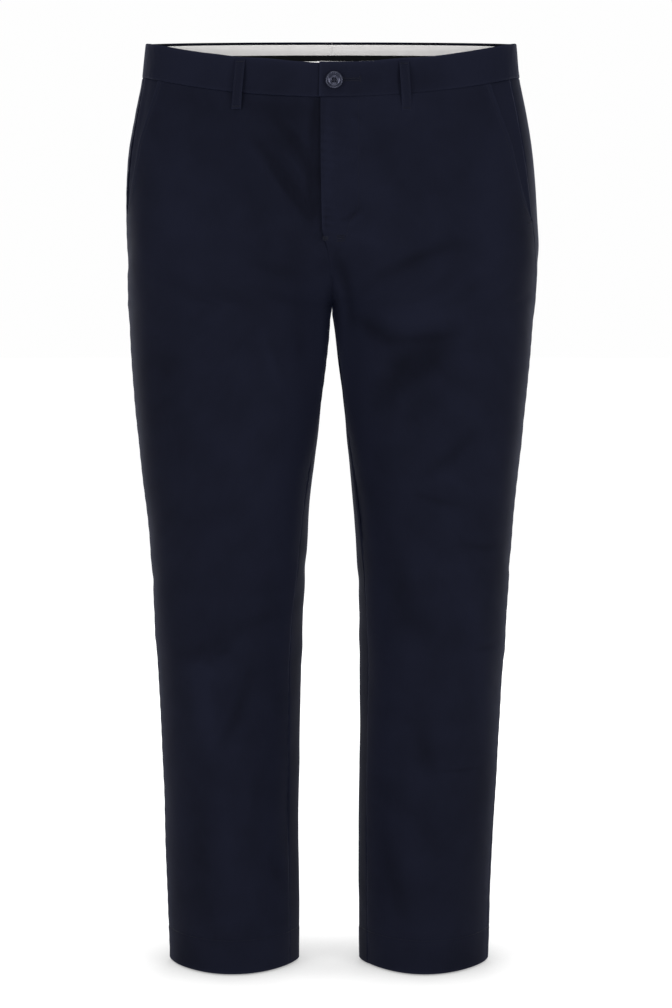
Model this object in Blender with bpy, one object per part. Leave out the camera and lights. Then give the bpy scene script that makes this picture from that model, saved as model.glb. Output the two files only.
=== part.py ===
"""Chino trousers, filled out as on a standing figure with nobody in them.

The front faces -Y, the wearer's left is +X and +Z is up. The origin is the centre of the waist
opening, half-way up the waistband at the sides. Sizes below are in millimetres.

The cloth follows one hollow form. Its level sections are half rings for each side of the body,
which run from the centre front round the side to the centre back. Below the fork each half ring
closes into the ring of a leg. A place on the form is (side, arc, height): side is +1 for the
wearer's left and -1 for the right, and arc is the distance round the section from the centre
front or, on a leg, from its innermost line. Every piece is a wall between two depths of the form.
"""

import math

import bmesh
import bpy
import numpy as np
from mathutils import Matrix, Vector

MM = 0.001
LEFT, RIGHT = 1, -1
SIDE_NAMES = {LEFT: "left", RIGHT: "right"}

# The waistband, and how the waistline dips at the front and rises at the back.
BAND_TOP = 20.0
BAND_HEIGHT = 39.0
FRONT_DIP = 29.2
BACK_RISE, BACK_RISE_POWER = 12.8, 1.05
LEVEL_BELOW = -200.0  # from here down the rows of cloth are level
SEAM_GAP = 0.3
SEAM_LEVEL = BAND_TOP - BAND_HEIGHT - SEAM_GAP

# The fork, where the legs part, and the heights over which the crotch seam turns under in front
# and behind.
FORK = -278.5
FRONT_TURN = 84.0
BACK_TURN = 125.0
TURN_POWER = 1.5
HEM = -1030.0
HEM_DEPTH = 37.5

# Cloth walls, as depths outside (+) or inside (-) the form.
PANEL_OUT, PANEL_IN, HEM_IN = 0.0, -1.5, -3.0
BAND_OUT, BAND_IN = 0.6, -1.5
FACING_OUT, FACING_IN = -1.8, -2.8
CURTAIN_OUT, CURTAIN_IN = -3.3, -4.3
POCKET_OUT, POCKET_IN = -1.9, -2.9
UNDERLAP_OUT, UNDERLAP_IN = -4.4, -5.4

# The strips inside the waist, as drops below the band's top.
FACING_DROPS = (3.4, 18.4)
CURTAIN_DROPS = (15.4, 31.4, 47.4)
# Beside the fly the facing peeps over the band, as (distance to the wearer's left, rise above it).
FACING_PEEP = (
    (-52, -FACING_DROPS[0]), (-38, 0.4), (-25, 1.2), (-15.5, 1.7), (-13, 1.4), (0, 1.2), (9, 0.9), (24, 0.8),
    (36, 0.6), (50, 0.4), (66, -FACING_DROPS[0]),
)
FACING_END, CURTAIN_END = -24.0, -4.0

# The fly: the left front laps over the right, whose edge is pushed in behind it.
BAND_LAP = 14.0
BAND_UNDER = 28.0
FLY_TUCK = 8.0
FLY_PUSH = 2.4
PUSH_STARTS, PUSH_ENDS = 32.0, 16.0
FLY_STEP = (-18, -9, 15.5, 19, 22, 25, 28.5, 32.5)
UNDERLAP_ARCS = (16, 8, 0, -8, -16, -25)
FLY_BOTTOM = -190.0
FLY_CLOSED = -201.0
FLY_FLUSH = -225.0

# The level sections of the form, one row a height: how far each side reaches out and in from the
# centre line, the front and back lines, the widest line's y, the share of the way out at which a
# leg's own rounding starts, and how pointed its edges are, from 0.5 for an ellipse to 1 for a lens.
SECTION_COLUMNS = (
    "height", "outer_left", "outer_right", "inner_left", "inner_right",
    "front", "back", "side_y", "split", "edge",
)
SECTIONS = (
    (22, 211.0, 213.4, 0, 0, -102, 102, 0, 0.00, 0.47),
    (-20, 215.3, 218.0, 0, 0, -105, 107, 1, 0.10, 0.47),
    (-60, 223.7, 225.2, 0, 0, -109, 116, 2, 0.22, 0.46),
    (-100, 230.7, 232.0, 0, 0, -113, 125, 4, 0.36, 0.46),
    (-140, 234.5, 235.1, 0, 0, -115, 132, 6, 0.52, 0.46),
    (-180, 236.8, 235.8, 0, 0, -115, 135, 7, 0.68, 0.46),
    (-220, 238.7, 235.8, 0, 0, -113, 134, 8, 0.84, 0.46),
    (-250, 236.1, 236.0, 0, 0, -110, 130, 8, 0.94, 0.47),
    (FORK, 232.8, 234.3, 0, 0, -106, 125, 8, 1.00, 0.48),
    (-292, 231.8, 233.7, 2.1, 2.0, -104.6, 122.6, 7.7, 1.00, 0.48),
    (-320, 230.0, 232.7, 4.9, 4.3, -102, 117, 7, 1.00, 0.49),
    (-370, 224.8, 229.4, 10.8, 9.0, -98, 109, 5, 1.00, 0.50),
    (-420, 219.9, 224.9, 16.1, 14.8, -95, 103, 4, 1.00, 0.51),
    (-470, 214.2, 218.4, 21.9, 21.6, -92, 98, 3, 1.00, 0.53),
    (-520, 209.7, 211.8, 26.0, 25.9, -89, 94, 2, 1.00, 0.55),
    (-570, 206.5, 207.9, 28.8, 28.2, -87, 91, 2, 1.00, 0.57),
    (-650, 200.3, 202.7, 32.2, 33.5, -83, 86, 1, 1.00, 0.60),
    (-750, 193.0, 196.3, 32.7, 36.2, -79, 81, 1, 1.00, 0.64),
    (-850, 187.7, 192.3, 30.5, 38.6, -76, 78, 1, 1.00, 0.67),
    (-950, 181.9, 189.4, 30.4, 38.5, -74, 75, 0, 1.00, 0.70),
    (-1035, 178.4, 187.5, 31.4, 38.0, -73, 74, 0, 1.00, 0.72),
)

# The trousers hang turned a little to the wearer's right, so the two sides' seams run differently.
SEAM_COLUMNS = ("height", "left", "right")
# How far ahead of the outermost line the side seam runs.
SIDE_LEAD = (
    (22, 38, 16),
    (-60, 48, 25),
    (-95, 51, 27),
    (-150, 49, 24),
    (-185, 47, 21),
    (-230, 38, 15),
    (-290, 21, 8),
    (-340, 14, 5),
    (-1035, 12, 4),
)
# How far ahead of the innermost line the inseam runs.
INSEAM_LEAD = (
    (FORK, 0, 0),
    (-400, 14, 18),
    (-560, 29, 37),
    (-660, 32, 42),
    (-750, 30, 38),
    (-850, 29.5, 33),
    (-1035, 27.5, 31),
)
# How far past the centre line the left front's edge laps over the right front.
FLY_LAP = ((0, 13), (-110, 13), (-196, 11.2), (-218, 5.0), (-252, 0.5), (FORK, -0.15))

# The slanted pocket mouth: how far it lies ahead of the side seam.
POCKET_END = -184.0
POCKET_MOUTH = (
    (-19, 36), (-42, 33), (-68, 28), (-95, 22.5), (-122, 21.5), (-150, 18), (-168, 10.5), (POCKET_END, 0),
)
POCKET_UNDER = 22.0
POCKET_RISES = 15.0
POCKET_MARGIN = 7.0

# Belt loops, as (name, side, arc to the loop's middle, lean). The lean is how far its foot lies
# further round than a line that runs straight down the band.
LOOP_WIDTH = 11.0
LOOP_THICK = 1.6
LOOPS = (
    ("belt_loop_front_left", LEFT, 79.5, -2.4),
    ("belt_loop_front_right", RIGHT, 102.0, -2.0),
    ("belt_loop_side_left", LEFT, 318.0, 0.0),
    ("belt_loop_side_right", RIGHT, 318.0, 0.0),
    ("belt_loop_back", LEFT, None, 0.0),
)
# A loop from top to bottom: the drop below the band's top, and the depth of its inner face.
LOOP_PATH = (
    (3.2, 0.9), (8, 1.5), (14, 2.6), (24, 3.4), (34, 3.2), (42, 2.4), (49, 1.3), (55, 0.5), (59.5, 0.3),
)

# The waist button.
BUTTON_RADIUS = 9.6
BUTTON_THICK = 3.2
BUTTON_RIM = 1.7
BUTTON_RECESS = 0.8
BUTTON_HOLE_RADIUS = 1.0
BUTTON_HOLE_REACH = 2.1
BUTTON_ARC = 2.3
BUTTON_DROP = 21.2
BUTTON_OFF = 1.0
BUTTON_STEPS = 40

# How finely the form is cut into facets.
FRONT_COLUMNS, BACK_COLUMNS = 11, 12
POCKET_STATIONS = 3
CLOSEST_STATIONS = 2.0
RING_POINTS = 121

COLOURS = {
    "chino_cloth": ("#1B1D2A", 0.9),
    "facing_cloth": ("#D6D5D4", 0.85),
    "curtain_cloth": ("#17181B", 0.9),
    "button_plastic": ("#424450", 0.35),
}


def linear(value):
    return value / 12.92 if value <= 0.04045 else ((value + 0.055) / 1.055) ** 2.4


def material(name):
    colour, roughness = COLOURS[name]
    made = bpy.data.materials.get(name)
    if made is None:
        made = bpy.data.materials.new(name)
        made.use_nodes = True
        shader = made.node_tree.nodes["Principled BSDF"]
        rgb = [linear(int(colour[i : i + 2], 16) / 255) for i in (1, 3, 5)]
        shader.inputs["Base Color"].default_value = (*rgb, 1.0)
        shader.inputs["Roughness"].default_value = roughness
    return made


def smoothstep(value, start, end):
    """0 at start and 1 at end, with a soft turn at both."""
    t = min(max((value - start) / (end - start), 0.0), 1.0)
    return t * t * (3 - 2 * t)


def curve_through(table, column):
    """A smooth function of height through one column of a table that runs downwards."""
    rows = sorted((row[0], row[column]) for row in table)
    heights = np.array([row[0] for row in rows], float)
    values = np.array([row[1] for row in rows], float)
    steps = np.diff(values) / np.diff(heights)
    slopes = np.concatenate([steps[:1], (steps[1:] + steps[:-1]) / 2, steps[-1:]])

    def at(height):
        h = min(max(height, heights[0]), heights[-1])
        i = min(max(int(np.searchsorted(heights, h)) - 1, 0), len(heights) - 2)
        span = heights[i + 1] - heights[i]
        t = (h - heights[i]) / span
        return float(
            values[i] * (1 + 2 * t) * (1 - t) ** 2
            + values[i + 1] * t * t * (3 - 2 * t)
            + slopes[i] * span * t * (1 - t) ** 2
            - slopes[i + 1] * span * t * t * (1 - t)
        )

    return at


def straight_through(table):
    """A function of height in straight stretches, for edges that have to keep clear of each other."""
    rows = sorted(table)
    return lambda height: float(np.interp(height, [r[0] for r in rows], [r[1] for r in rows]))


SECTION = {name: curve_through(SECTIONS, i) for i, name in enumerate(SECTION_COLUMNS) if i}
side_lead = {LEFT: curve_through(SIDE_LEAD, 1), RIGHT: curve_through(SIDE_LEAD, 2)}
inseam_lead = {LEFT: curve_through(INSEAM_LEAD, 1), RIGHT: curve_through(INSEAM_LEAD, 2)}
fly_lap = straight_through(FLY_LAP)
pocket_mouth = straight_through(POCKET_MOUTH)
rings = {}


def ring(side, height):
    """(points, arcs) of a half section: x and y of its points, and their distance from its start."""
    key = (side, round(height, 4))
    if key in rings:
        return rings[key]
    name = SIDE_NAMES[side]
    outer = SECTION["outer_" + name](height)
    inner = SECTION["inner_" + name](height) if height < FORK else 0.0
    front, back = SECTION["front"](height), SECTION["back"](height)
    middle = SECTION["side_y"](height)
    centre = SECTION["split"](height) * (outer + inner) / 2
    quarter = np.linspace(0, math.pi / 2, RING_POINTS)
    edge = SECTION["edge"](height)
    outer_x = centre + (outer - centre) * np.sin(quarter)
    outer_depth = np.cos(quarter) ** (2 * edge)
    halves = []
    for turn, reach in ((FRONT_TURN, front - middle), (BACK_TURN, back - middle)):
        # 1 where the half ring closes at the fork and below, and near 0 where it runs straight across.
        closing = 1 - min(max((height - FORK) / turn, 0.0), 0.999) ** TURN_POWER
        across = np.linspace(math.asin(closing), 0, RING_POINTS)
        inner_x = centre - (centre - inner) * np.sin(across) / closing
        inner_depth = np.cos(across) ** (2 * edge)
        depth = np.concatenate([inner_depth, outer_depth])
        halves.append((np.concatenate([inner_x, outer_x]), middle + reach * depth))
    x = np.concatenate([halves[0][0], halves[1][0][::-1]])
    y = np.concatenate([halves[0][1], halves[1][1][::-1]])
    keep = np.concatenate([[True], np.hypot(np.diff(x), np.diff(y)) > 1e-6])
    points = np.stack([side * x[keep], y[keep]], axis=1)
    arcs = np.concatenate([[0], np.cumsum(np.hypot(*np.diff(points, axis=0).T))])
    rings[key] = (points, arcs)
    return rings[key]


def girth(side, height):
    return ring(side, height)[1][-1]


def outermost(side, height):
    """The arc to the section's widest point."""
    points, arcs = ring(side, height)
    return float(arcs[np.argmax(side * points[:, 0])])


def skin(side, arc, height):
    """A point on the form. Past the centre front or back it goes on over the other side."""
    length = girth(side, height)
    if height > FORK and arc < 0:
        side, arc = -side, -arc
    elif height > FORK and arc > length:
        side, arc = -side, girth(-side, height) - (arc - length)
    elif height <= FORK:
        arc %= length
    points, arcs = ring(side, height)
    return Vector((np.interp(arc, arcs, points[:, 0]), np.interp(arc, arcs, points[:, 1]), height))


def outward(side, arc, height):
    """The form's normal, from its slope round the section and down it."""
    step = 1.5
    low, high = height - step, height + step
    if low < FORK < high:
        low, high = (FORK, FORK + 2 * step) if height > FORK else (FORK - 2 * step, FORK)
    share = arc / girth(side, height)
    along = skin(side, arc + step, height) - skin(side, arc - step, height)
    up = skin(side, share * girth(side, high), high) - skin(side, share * girth(side, low), low)
    return side * along.cross(up).normalized()


def place(side, arc, height, depth):
    return skin(side, arc, height) + outward(side, arc, height) * depth


def waist_shape(side, share):
    """How far the waistline lies above (+) or below (-) its height at the side, at a share of the ring."""
    point = skin(side, share * girth(side, 0), 0)
    if point.y < 0:
        return -FRONT_DIP * (point.y / SECTION["front"](0)) ** 2
    return BACK_RISE * (point.y / SECTION["back"](0)) ** BACK_RISE_POWER


def height_at(side, share, level):
    """The height of a row of cloth, which follows the waistline at the top and is level lower down."""
    fade = smoothstep(level, LEVEL_BELOW, BAND_TOP - BAND_HEIGHT)
    return level + fade * waist_shape(side, share)


def settle(side, level, arc_of):
    """The share of the ring where a row at this level meets the line arc_of(height)."""
    height = level
    for _ in range(6):
        share = arc_of(height) / girth(side, height)
        height = height_at(side, share, level)
    return share


def push_in(side, arc, height):
    """How far the right side's edge is pushed in behind the left at the fly."""
    if side == LEFT:
        return 0.0
    return -FLY_PUSH * smoothstep(arc, PUSH_STARTS, PUSH_ENDS) * smoothstep(height, FLY_FLUSH, FLY_CLOSED)


def wall(name, slot, outer, inner):
    """A closed cloth wall between two grids of points, as lists of rows."""
    rows, columns = len(outer), len(outer[0])
    mesh = bmesh.new()
    skins = [[[mesh.verts.new(p * MM) for p in row] for row in grid] for grid in (outer, inner)]
    for grid, turned in zip(skins, (False, True)):
        for j in range(rows - 1):
            for i in range(columns - 1):
                corners = [grid[j][i], grid[j + 1][i], grid[j + 1][i + 1], grid[j][i + 1]]
                mesh.faces.new(corners[::-1] if turned else corners)
    rim = [(0, i) for i in range(columns)] + [(j, columns - 1) for j in range(1, rows)]
    rim += [(rows - 1, i) for i in range(columns - 2, -1, -1)] + [(j, 0) for j in range(rows - 2, 0, -1)]
    for (j, i), (l, k) in zip(rim, rim[1:] + rim[:1]):
        mesh.faces.new([skins[0][j][i], skins[0][l][k], skins[1][l][k], skins[1][j][i]])
    bmesh.ops.recalc_face_normals(mesh, faces=mesh.faces)
    data = bpy.data.meshes.new(name)
    mesh.to_mesh(data)
    mesh.free()
    data.materials.append(material(slot))
    data.shade_smooth()
    data.set_sharp_from_angle(angle=math.radians(40))
    piece = bpy.data.objects.new(name, data)
    bpy.context.scene.collection.objects.link(piece)
    return piece


def spread(side, height, start, end, count):
    """Shares of the ring from start to end, closer together where the section turns more."""
    samples = np.linspace(max(start, 0.0), end, 160)
    path = np.array([skin(side, share * girth(side, height), height).xy for share in samples])
    along = np.diff(path, axis=0)
    heading = np.unwrap(np.arctan2(along[:, 1], along[:, 0]))
    turned = np.concatenate([[0], np.cumsum(np.abs(np.diff(heading))), [0]])
    turned[-1] = turned[-2]
    measure = np.linspace(0, 1, len(samples)) + turned / turned[-1]
    return [start, *np.interp(np.linspace(0, 2, count + 1), measure, samples)[1:]]


def panel_levels():
    """The levels of the panels' rows, from the waist seam to the hem."""
    seat = [SEAM_LEVEL, -42, -68, -95, -122, -150, -168, POCKET_END, FLY_BOTTOM, FLY_CLOSED, -213, FLY_FLUSH]
    crotch = [FORK + rise for rise in (41, 29, 18, 9, 3, 0)]
    leg = [-300, -335, -380, -430, -490, -560, -640, -720, -800, -880, -950]
    hem = [HEM + HEM_DEPTH + 1, HEM + HEM_DEPTH - 1, HEM]
    return seat + crotch + leg + hem


def panel_inner_depth(level):
    return HEM_IN if level < HEM + HEM_DEPTH else PANEL_IN


def clear_of_middle(point, side, arc, height):
    """Keeps the two sides apart at the middle below the fly, where the left front doesn't lap over."""
    if height < FLY_FLUSH and arc >= 0 and side * point.x < SEAM_GAP / 2:
        point.x = side * SEAM_GAP / 2
    return point


def panel(name, side, start_of, end_of, columns):
    """A front or a back, between two lines that give an arc at each height."""
    grids = ([], [])
    for level in panel_levels():
        rows = ([], [])
        for share in spread(side, level, settle(side, level, start_of), settle(side, level, end_of), columns):
            height = height_at(side, share, level)
            arc = share * girth(side, height)
            moved = push_in(side, arc, height) if name.startswith("front") else 0.0
            for row, depth in zip(rows, (PANEL_OUT, panel_inner_depth(level))):
                point = place(side, arc, height, depth + moved)
                row.append(clear_of_middle(point, side, arc, height))
        for grid, row in zip(grids, rows):
            grid.append(row)
    return wall(name, "chino_cloth", *grids)


def side_seam(side, height):
    return outermost(side, height) - side_lead[side](height)


def inseam(side, height):
    return inseam_lead[side](height) if height < FORK else 0.0


def front_edge(side, height):
    """Where a front starts: its fly edge, the crotch seam or the inseam."""
    if height <= FORK:
        return inseam(side, height) + SEAM_GAP / 2
    lap = fly_lap(height)
    if side == LEFT:
        return -lap
    tuck = FLY_TUCK + (SEAM_GAP + FLY_TUCK) * -smoothstep(height, FLY_BOTTOM, FLY_CLOSED)
    return lap - tuck


def front_side_edge(side, height):
    """Where a front ends: the pocket mouth, and the side seam below it."""
    seam = side_seam(side, height) - SEAM_GAP / 2
    return seam - pocket_mouth(height) if height > POCKET_END else seam


def back_side_edge(side, height):
    return side_seam(side, height) + SEAM_GAP / 2


def back_edge(side, height):
    """Where a back ends: the centre back seam, or past the innermost line at the inseam."""
    return girth(side, height) + inseam(side, height) - SEAM_GAP / 2


def make_panels():
    for side in (LEFT, RIGHT):
        panel(
            "front_" + SIDE_NAMES[side],
            side,
            lambda h: front_edge(side, h),
            lambda h: front_side_edge(side, h),
            FRONT_COLUMNS,
        )
        panel(
            "back_" + SIDE_NAMES[side],
            side,
            lambda h: back_side_edge(side, h),
            lambda h: back_edge(side, h),
            BACK_COLUMNS,
        )


def waist_stations(side, start, end):
    """Arcs at the waist where the strips bend: where the panels below do, and across the fly's step."""
    level, whole = SEAM_LEVEL, girth(side, 0)
    front = [settle(side, level, lambda h, f=f: f(side, h)) for f in (front_edge, front_side_edge)]
    back = [settle(side, level, lambda h, f=f: f(side, h)) for f in (back_side_edge, back_edge)]
    shares = [*spread(side, level, *front, FRONT_COLUMNS), *spread(side, level, *back, BACK_COLUMNS)]
    shares += list(np.linspace(front[1], back[0], POCKET_STATIONS + 2)[1:-1])
    arcs = sorted([share * whole for share in shares] + (list(FLY_STEP) if side == RIGHT else []))
    kept = [start]
    for arc in arcs:
        if arc - kept[-1] > CLOSEST_STATIONS and arc < end - CLOSEST_STATIONS:
            kept.append(arc)
    return [*kept, end]


def waist_strip(name, slot, side, start, drops, depths, top_of=None):
    """A strip of the waist from start to the centre back, between drops below the band's top edge."""
    grids = ([], [])
    for drop in drops:
        rows = ([], [])
        for arc in waist_stations(side, start, girth(side, 0) - SEAM_GAP / 2):
            share = arc / girth(side, 0)
            lowered = top_of(side, arc) if top_of and drop == drops[0] else drop
            height = height_at(side, share, BAND_TOP - lowered)
            for row, depth in zip(rows, depths):
                moved = depth + push_in(side, arc, BAND_TOP)
                row.append(place(side, share * girth(side, height), height, moved))
        for grid, row in zip(grids, rows):
            grid.append(row)
    return wall(name, slot, *grids)


def make_waistband():
    """Each side is one strip from the centre front to the centre back seam, the left end on top."""
    drops = (0, BAND_HEIGHT / 2, BAND_HEIGHT)
    for side, start in ((LEFT, -BAND_LAP), (RIGHT, -BAND_UNDER)):
        waist_strip("waistband_" + SIDE_NAMES[side], "chino_cloth", side, start, drops, (BAND_OUT, BAND_IN))


def facing_top(side, arc):
    """The drop of a facing's top edge, which peeps over the band beside the fly."""
    places, rises = zip(*FACING_PEEP)
    return -float(np.interp(side * arc, places, rises))


def make_waist_linings():
    """A pale facing behind the band's top and a dark curtain below it, as they show inside the back."""
    for side, facing_start, curtain_start in (
        (LEFT, BAND_UNDER + 3, BAND_UNDER + 3),
        (RIGHT, FACING_END, CURTAIN_END),
    ):
        waist_strip(
            "waist_facing_" + SIDE_NAMES[side], "facing_cloth", side, facing_start,
            FACING_DROPS, (FACING_OUT, FACING_IN), facing_top,
        )
        waist_strip(
            "waist_curtain_" + SIDE_NAMES[side], "curtain_cloth", side, curtain_start,
            CURTAIN_DROPS, (CURTAIN_OUT, CURTAIN_IN),
        )


def make_fly_underlap():
    """The shield behind the fly, on the right front's edge, from the waistband to the fly's foot."""
    grids = ([], [])
    for level in (SEAM_LEVEL + 7, -60, -110, -160, FLY_BOTTOM - 12):
        rows = ([], [])
        for arc in UNDERLAP_ARCS:
            height = height_at(RIGHT, arc / girth(RIGHT, 0), level)
            for row, depth in zip(rows, (UNDERLAP_OUT, UNDERLAP_IN)):
                row.append(place(RIGHT, arc, height, depth))
        for grid, row in zip(grids, rows):
            grid.append(row)
    wall("fly_underlap", "chino_cloth", *grids)


def make_pocket_facings():
    """The strip of cloth behind each slanted pocket mouth, sewn into the side seam and the waist seam.

    It comes up level with the back at the side seam, and goes down behind the front at the mouth."""
    for side in (LEFT, RIGHT):
        grids = ([], [])
        for level in (SEAM_LEVEL, -42, -68, -95, -122, -150, -168, POCKET_END - 10):
            last = settle(side, level, lambda h: side_seam(side, h) - SEAM_GAP / 2)
            first = settle(side, level, lambda h: front_side_edge(side, h) - POCKET_UNDER)
            rows = ([], [])
            for part in (0, 0.25, 0.45, 0.62, 0.76, 0.88, 1):
                share = first + (last - first) * part
                height = height_at(side, share, level)
                arc, seam = share * girth(side, height), last * girth(side, height)
                ramp = min(pocket_mouth(height) - POCKET_MARGIN, POCKET_RISES)
                rise = -POCKET_OUT * smoothstep(arc, seam - ramp, seam) if ramp > POCKET_MARGIN else 0
                for row, depth in zip(rows, (POCKET_OUT, POCKET_IN)):
                    row.append(place(side, arc, height, depth + rise))
            for grid, row in zip(grids, rows):
                grid.append(row)
        wall("pocket_facing_" + SIDE_NAMES[side], "chino_cloth", *grids)


def make_belt_loops():
    """Narrow folded strips, sewn to the band's top and below the waist seam, and free between."""
    top, foot = LOOP_PATH[0][0], LOOP_PATH[-1][0]
    for name, side, middle, lean in LOOPS:
        outer, inner = [], []
        centre = girth(side, 0) if middle is None else middle
        share = centre / girth(side, 0)
        for drop, depth in LOOP_PATH:
            height = height_at(side, share, BAND_TOP - drop)
            local = share * girth(side, height) + lean * (drop - top) / (foot - top)
            arcs = (local - LOOP_WIDTH / 2, local, local + LOOP_WIDTH / 2)
            outer.append([place(side, arc, height, depth + LOOP_THICK) for arc in arcs])
            inner.append([place(side, arc, height, depth) for arc in arcs])
        wall(name, "chino_cloth", outer, inner)


def make_button():
    """A four-hole button with a raised rim, turned about its axis, on the band's left end."""
    data = bpy.data.meshes.new("waist_button")
    button = bpy.data.objects.new("waist_button", data)
    bpy.context.scene.collection.objects.link(button)
    well = BUTTON_RADIUS - BUTTON_RIM
    floor = BUTTON_THICK - BUTTON_RECESS
    profile = (
        (0, 0), (BUTTON_RADIUS - 1.6, 0), (BUTTON_RADIUS, 1.2), (BUTTON_RADIUS, BUTTON_THICK - 0.6),
        (BUTTON_RADIUS - 0.5, BUTTON_THICK - 0.1), (well, BUTTON_THICK), (well - 1.0, floor), (0, floor),
    )
    mesh = bmesh.new()
    line = [mesh.verts.new(Vector((radius, 0, rise)) * MM) for radius, rise in profile]
    edges = [mesh.edges.new(pair) for pair in zip(line, line[1:])]
    bmesh.ops.spin(
        mesh, geom=line + edges, cent=(0, 0, 0), axis=(0, 0, 1), angle=2 * math.pi, steps=BUTTON_STEPS
    )
    bmesh.ops.remove_doubles(mesh, verts=mesh.verts, dist=1e-6)
    bmesh.ops.recalc_face_normals(mesh, faces=mesh.faces)
    mesh.to_mesh(data)
    mesh.free()
    data.materials.append(material("button_plastic"))
    data.shade_smooth()
    data.set_sharp_from_angle(angle=math.radians(35))
    for index in range(4):
        angle = math.radians(45 + 90 * index)
        drill = bmesh.new()
        bmesh.ops.create_cone(
            drill, cap_ends=True, segments=10, radius1=BUTTON_HOLE_RADIUS * MM,
            radius2=BUTTON_HOLE_RADIUS * MM, depth=3 * BUTTON_THICK * MM,
        )
        cutter_data = bpy.data.meshes.new("button_drill")
        drill.to_mesh(cutter_data)
        drill.free()
        cutter = bpy.data.objects.new(f"button_drill_{index}", cutter_data)
        bpy.context.scene.collection.objects.link(cutter)
        cutter.location = Vector((math.cos(angle), math.sin(angle), 0)) * BUTTON_HOLE_REACH * MM
        cutter.hide_render = True
        cutter.display_type = "WIRE"
        cutter.parent = button
        hole = button.modifiers.new(f"hole_{index}", "BOOLEAN")
        hole.operation = "DIFFERENCE"
        hole.object = cutter
    share = BUTTON_ARC / girth(LEFT, 0)
    height = height_at(LEFT, share, BAND_TOP - BUTTON_DROP)
    facing = outward(LEFT, BUTTON_ARC, height)
    upright = facing.cross(Vector((1, 0, 0))).normalized()
    turn = Matrix((upright.cross(facing), upright, facing)).transposed()
    button.rotation_euler = turn.to_euler()
    button.location = place(LEFT, BUTTON_ARC, height, BAND_OUT + BUTTON_OFF) * MM


for leftover in list(bpy.data.objects):
    bpy.data.objects.remove(leftover)
make_panels()
make_waistband()
make_waist_linings()
make_fly_underlap()
make_pocket_facings()
make_belt_loops()
make_button()
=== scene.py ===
"""Navy chino trousers, filled out as on a standing figure with nobody in them.

Sizes are in millimetres and each mesh is made in metres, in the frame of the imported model: the
front faces -Y, the wearer's left is +X and the origin is the centre of the waist opening.
"""

import math

import bpy
import numpy as np
from mathutils import Matrix, Vector


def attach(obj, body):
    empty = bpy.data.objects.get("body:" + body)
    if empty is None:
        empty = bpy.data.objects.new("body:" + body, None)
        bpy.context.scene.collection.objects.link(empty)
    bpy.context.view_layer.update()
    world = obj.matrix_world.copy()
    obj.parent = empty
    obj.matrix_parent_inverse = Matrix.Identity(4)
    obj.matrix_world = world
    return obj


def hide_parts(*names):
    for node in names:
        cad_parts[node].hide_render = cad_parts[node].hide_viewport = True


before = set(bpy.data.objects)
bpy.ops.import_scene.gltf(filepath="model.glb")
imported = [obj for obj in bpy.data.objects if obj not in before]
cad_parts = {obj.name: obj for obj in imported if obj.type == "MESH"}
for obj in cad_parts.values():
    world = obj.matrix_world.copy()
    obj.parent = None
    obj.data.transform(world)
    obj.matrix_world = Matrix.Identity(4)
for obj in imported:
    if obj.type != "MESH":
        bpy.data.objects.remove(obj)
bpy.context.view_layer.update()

# ---- The fronts and backs ----
# Four leg panels of navy cotton twill, each cut in one from waist seam to hem with the grain down
# the leg. They are sewn together at the side seams, inseams, crotch and centre back, the seams are
# pressed open, and the hems are turned up and stitched.
MM = 0.001
LEFT, RIGHT = 1, -1
SIDE_NAMES = {LEFT: "left", RIGHT: "right"}
BAND_TOP, BAND_HEIGHT = 20.0, 39.0
FRONT_DIP, BACK_RISE, BACK_RISE_POWER, LEVEL_BELOW = 29.2, 12.8, 1.05, -200.0
SEAM_GAP = 0.08
SEAM_LEVEL = BAND_TOP - BAND_HEIGHT - SEAM_GAP
FORK, FRONT_TURN, BACK_TURN, TURN_POWER = -278.5, 84.0, 125.0, 1.5
HEM, HEM_DEPTH = -1030.0, 37.5
CLOTH_THICK, HEM_THICK = 1.5, 3.0
FORM_TOP = 22.0

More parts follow.
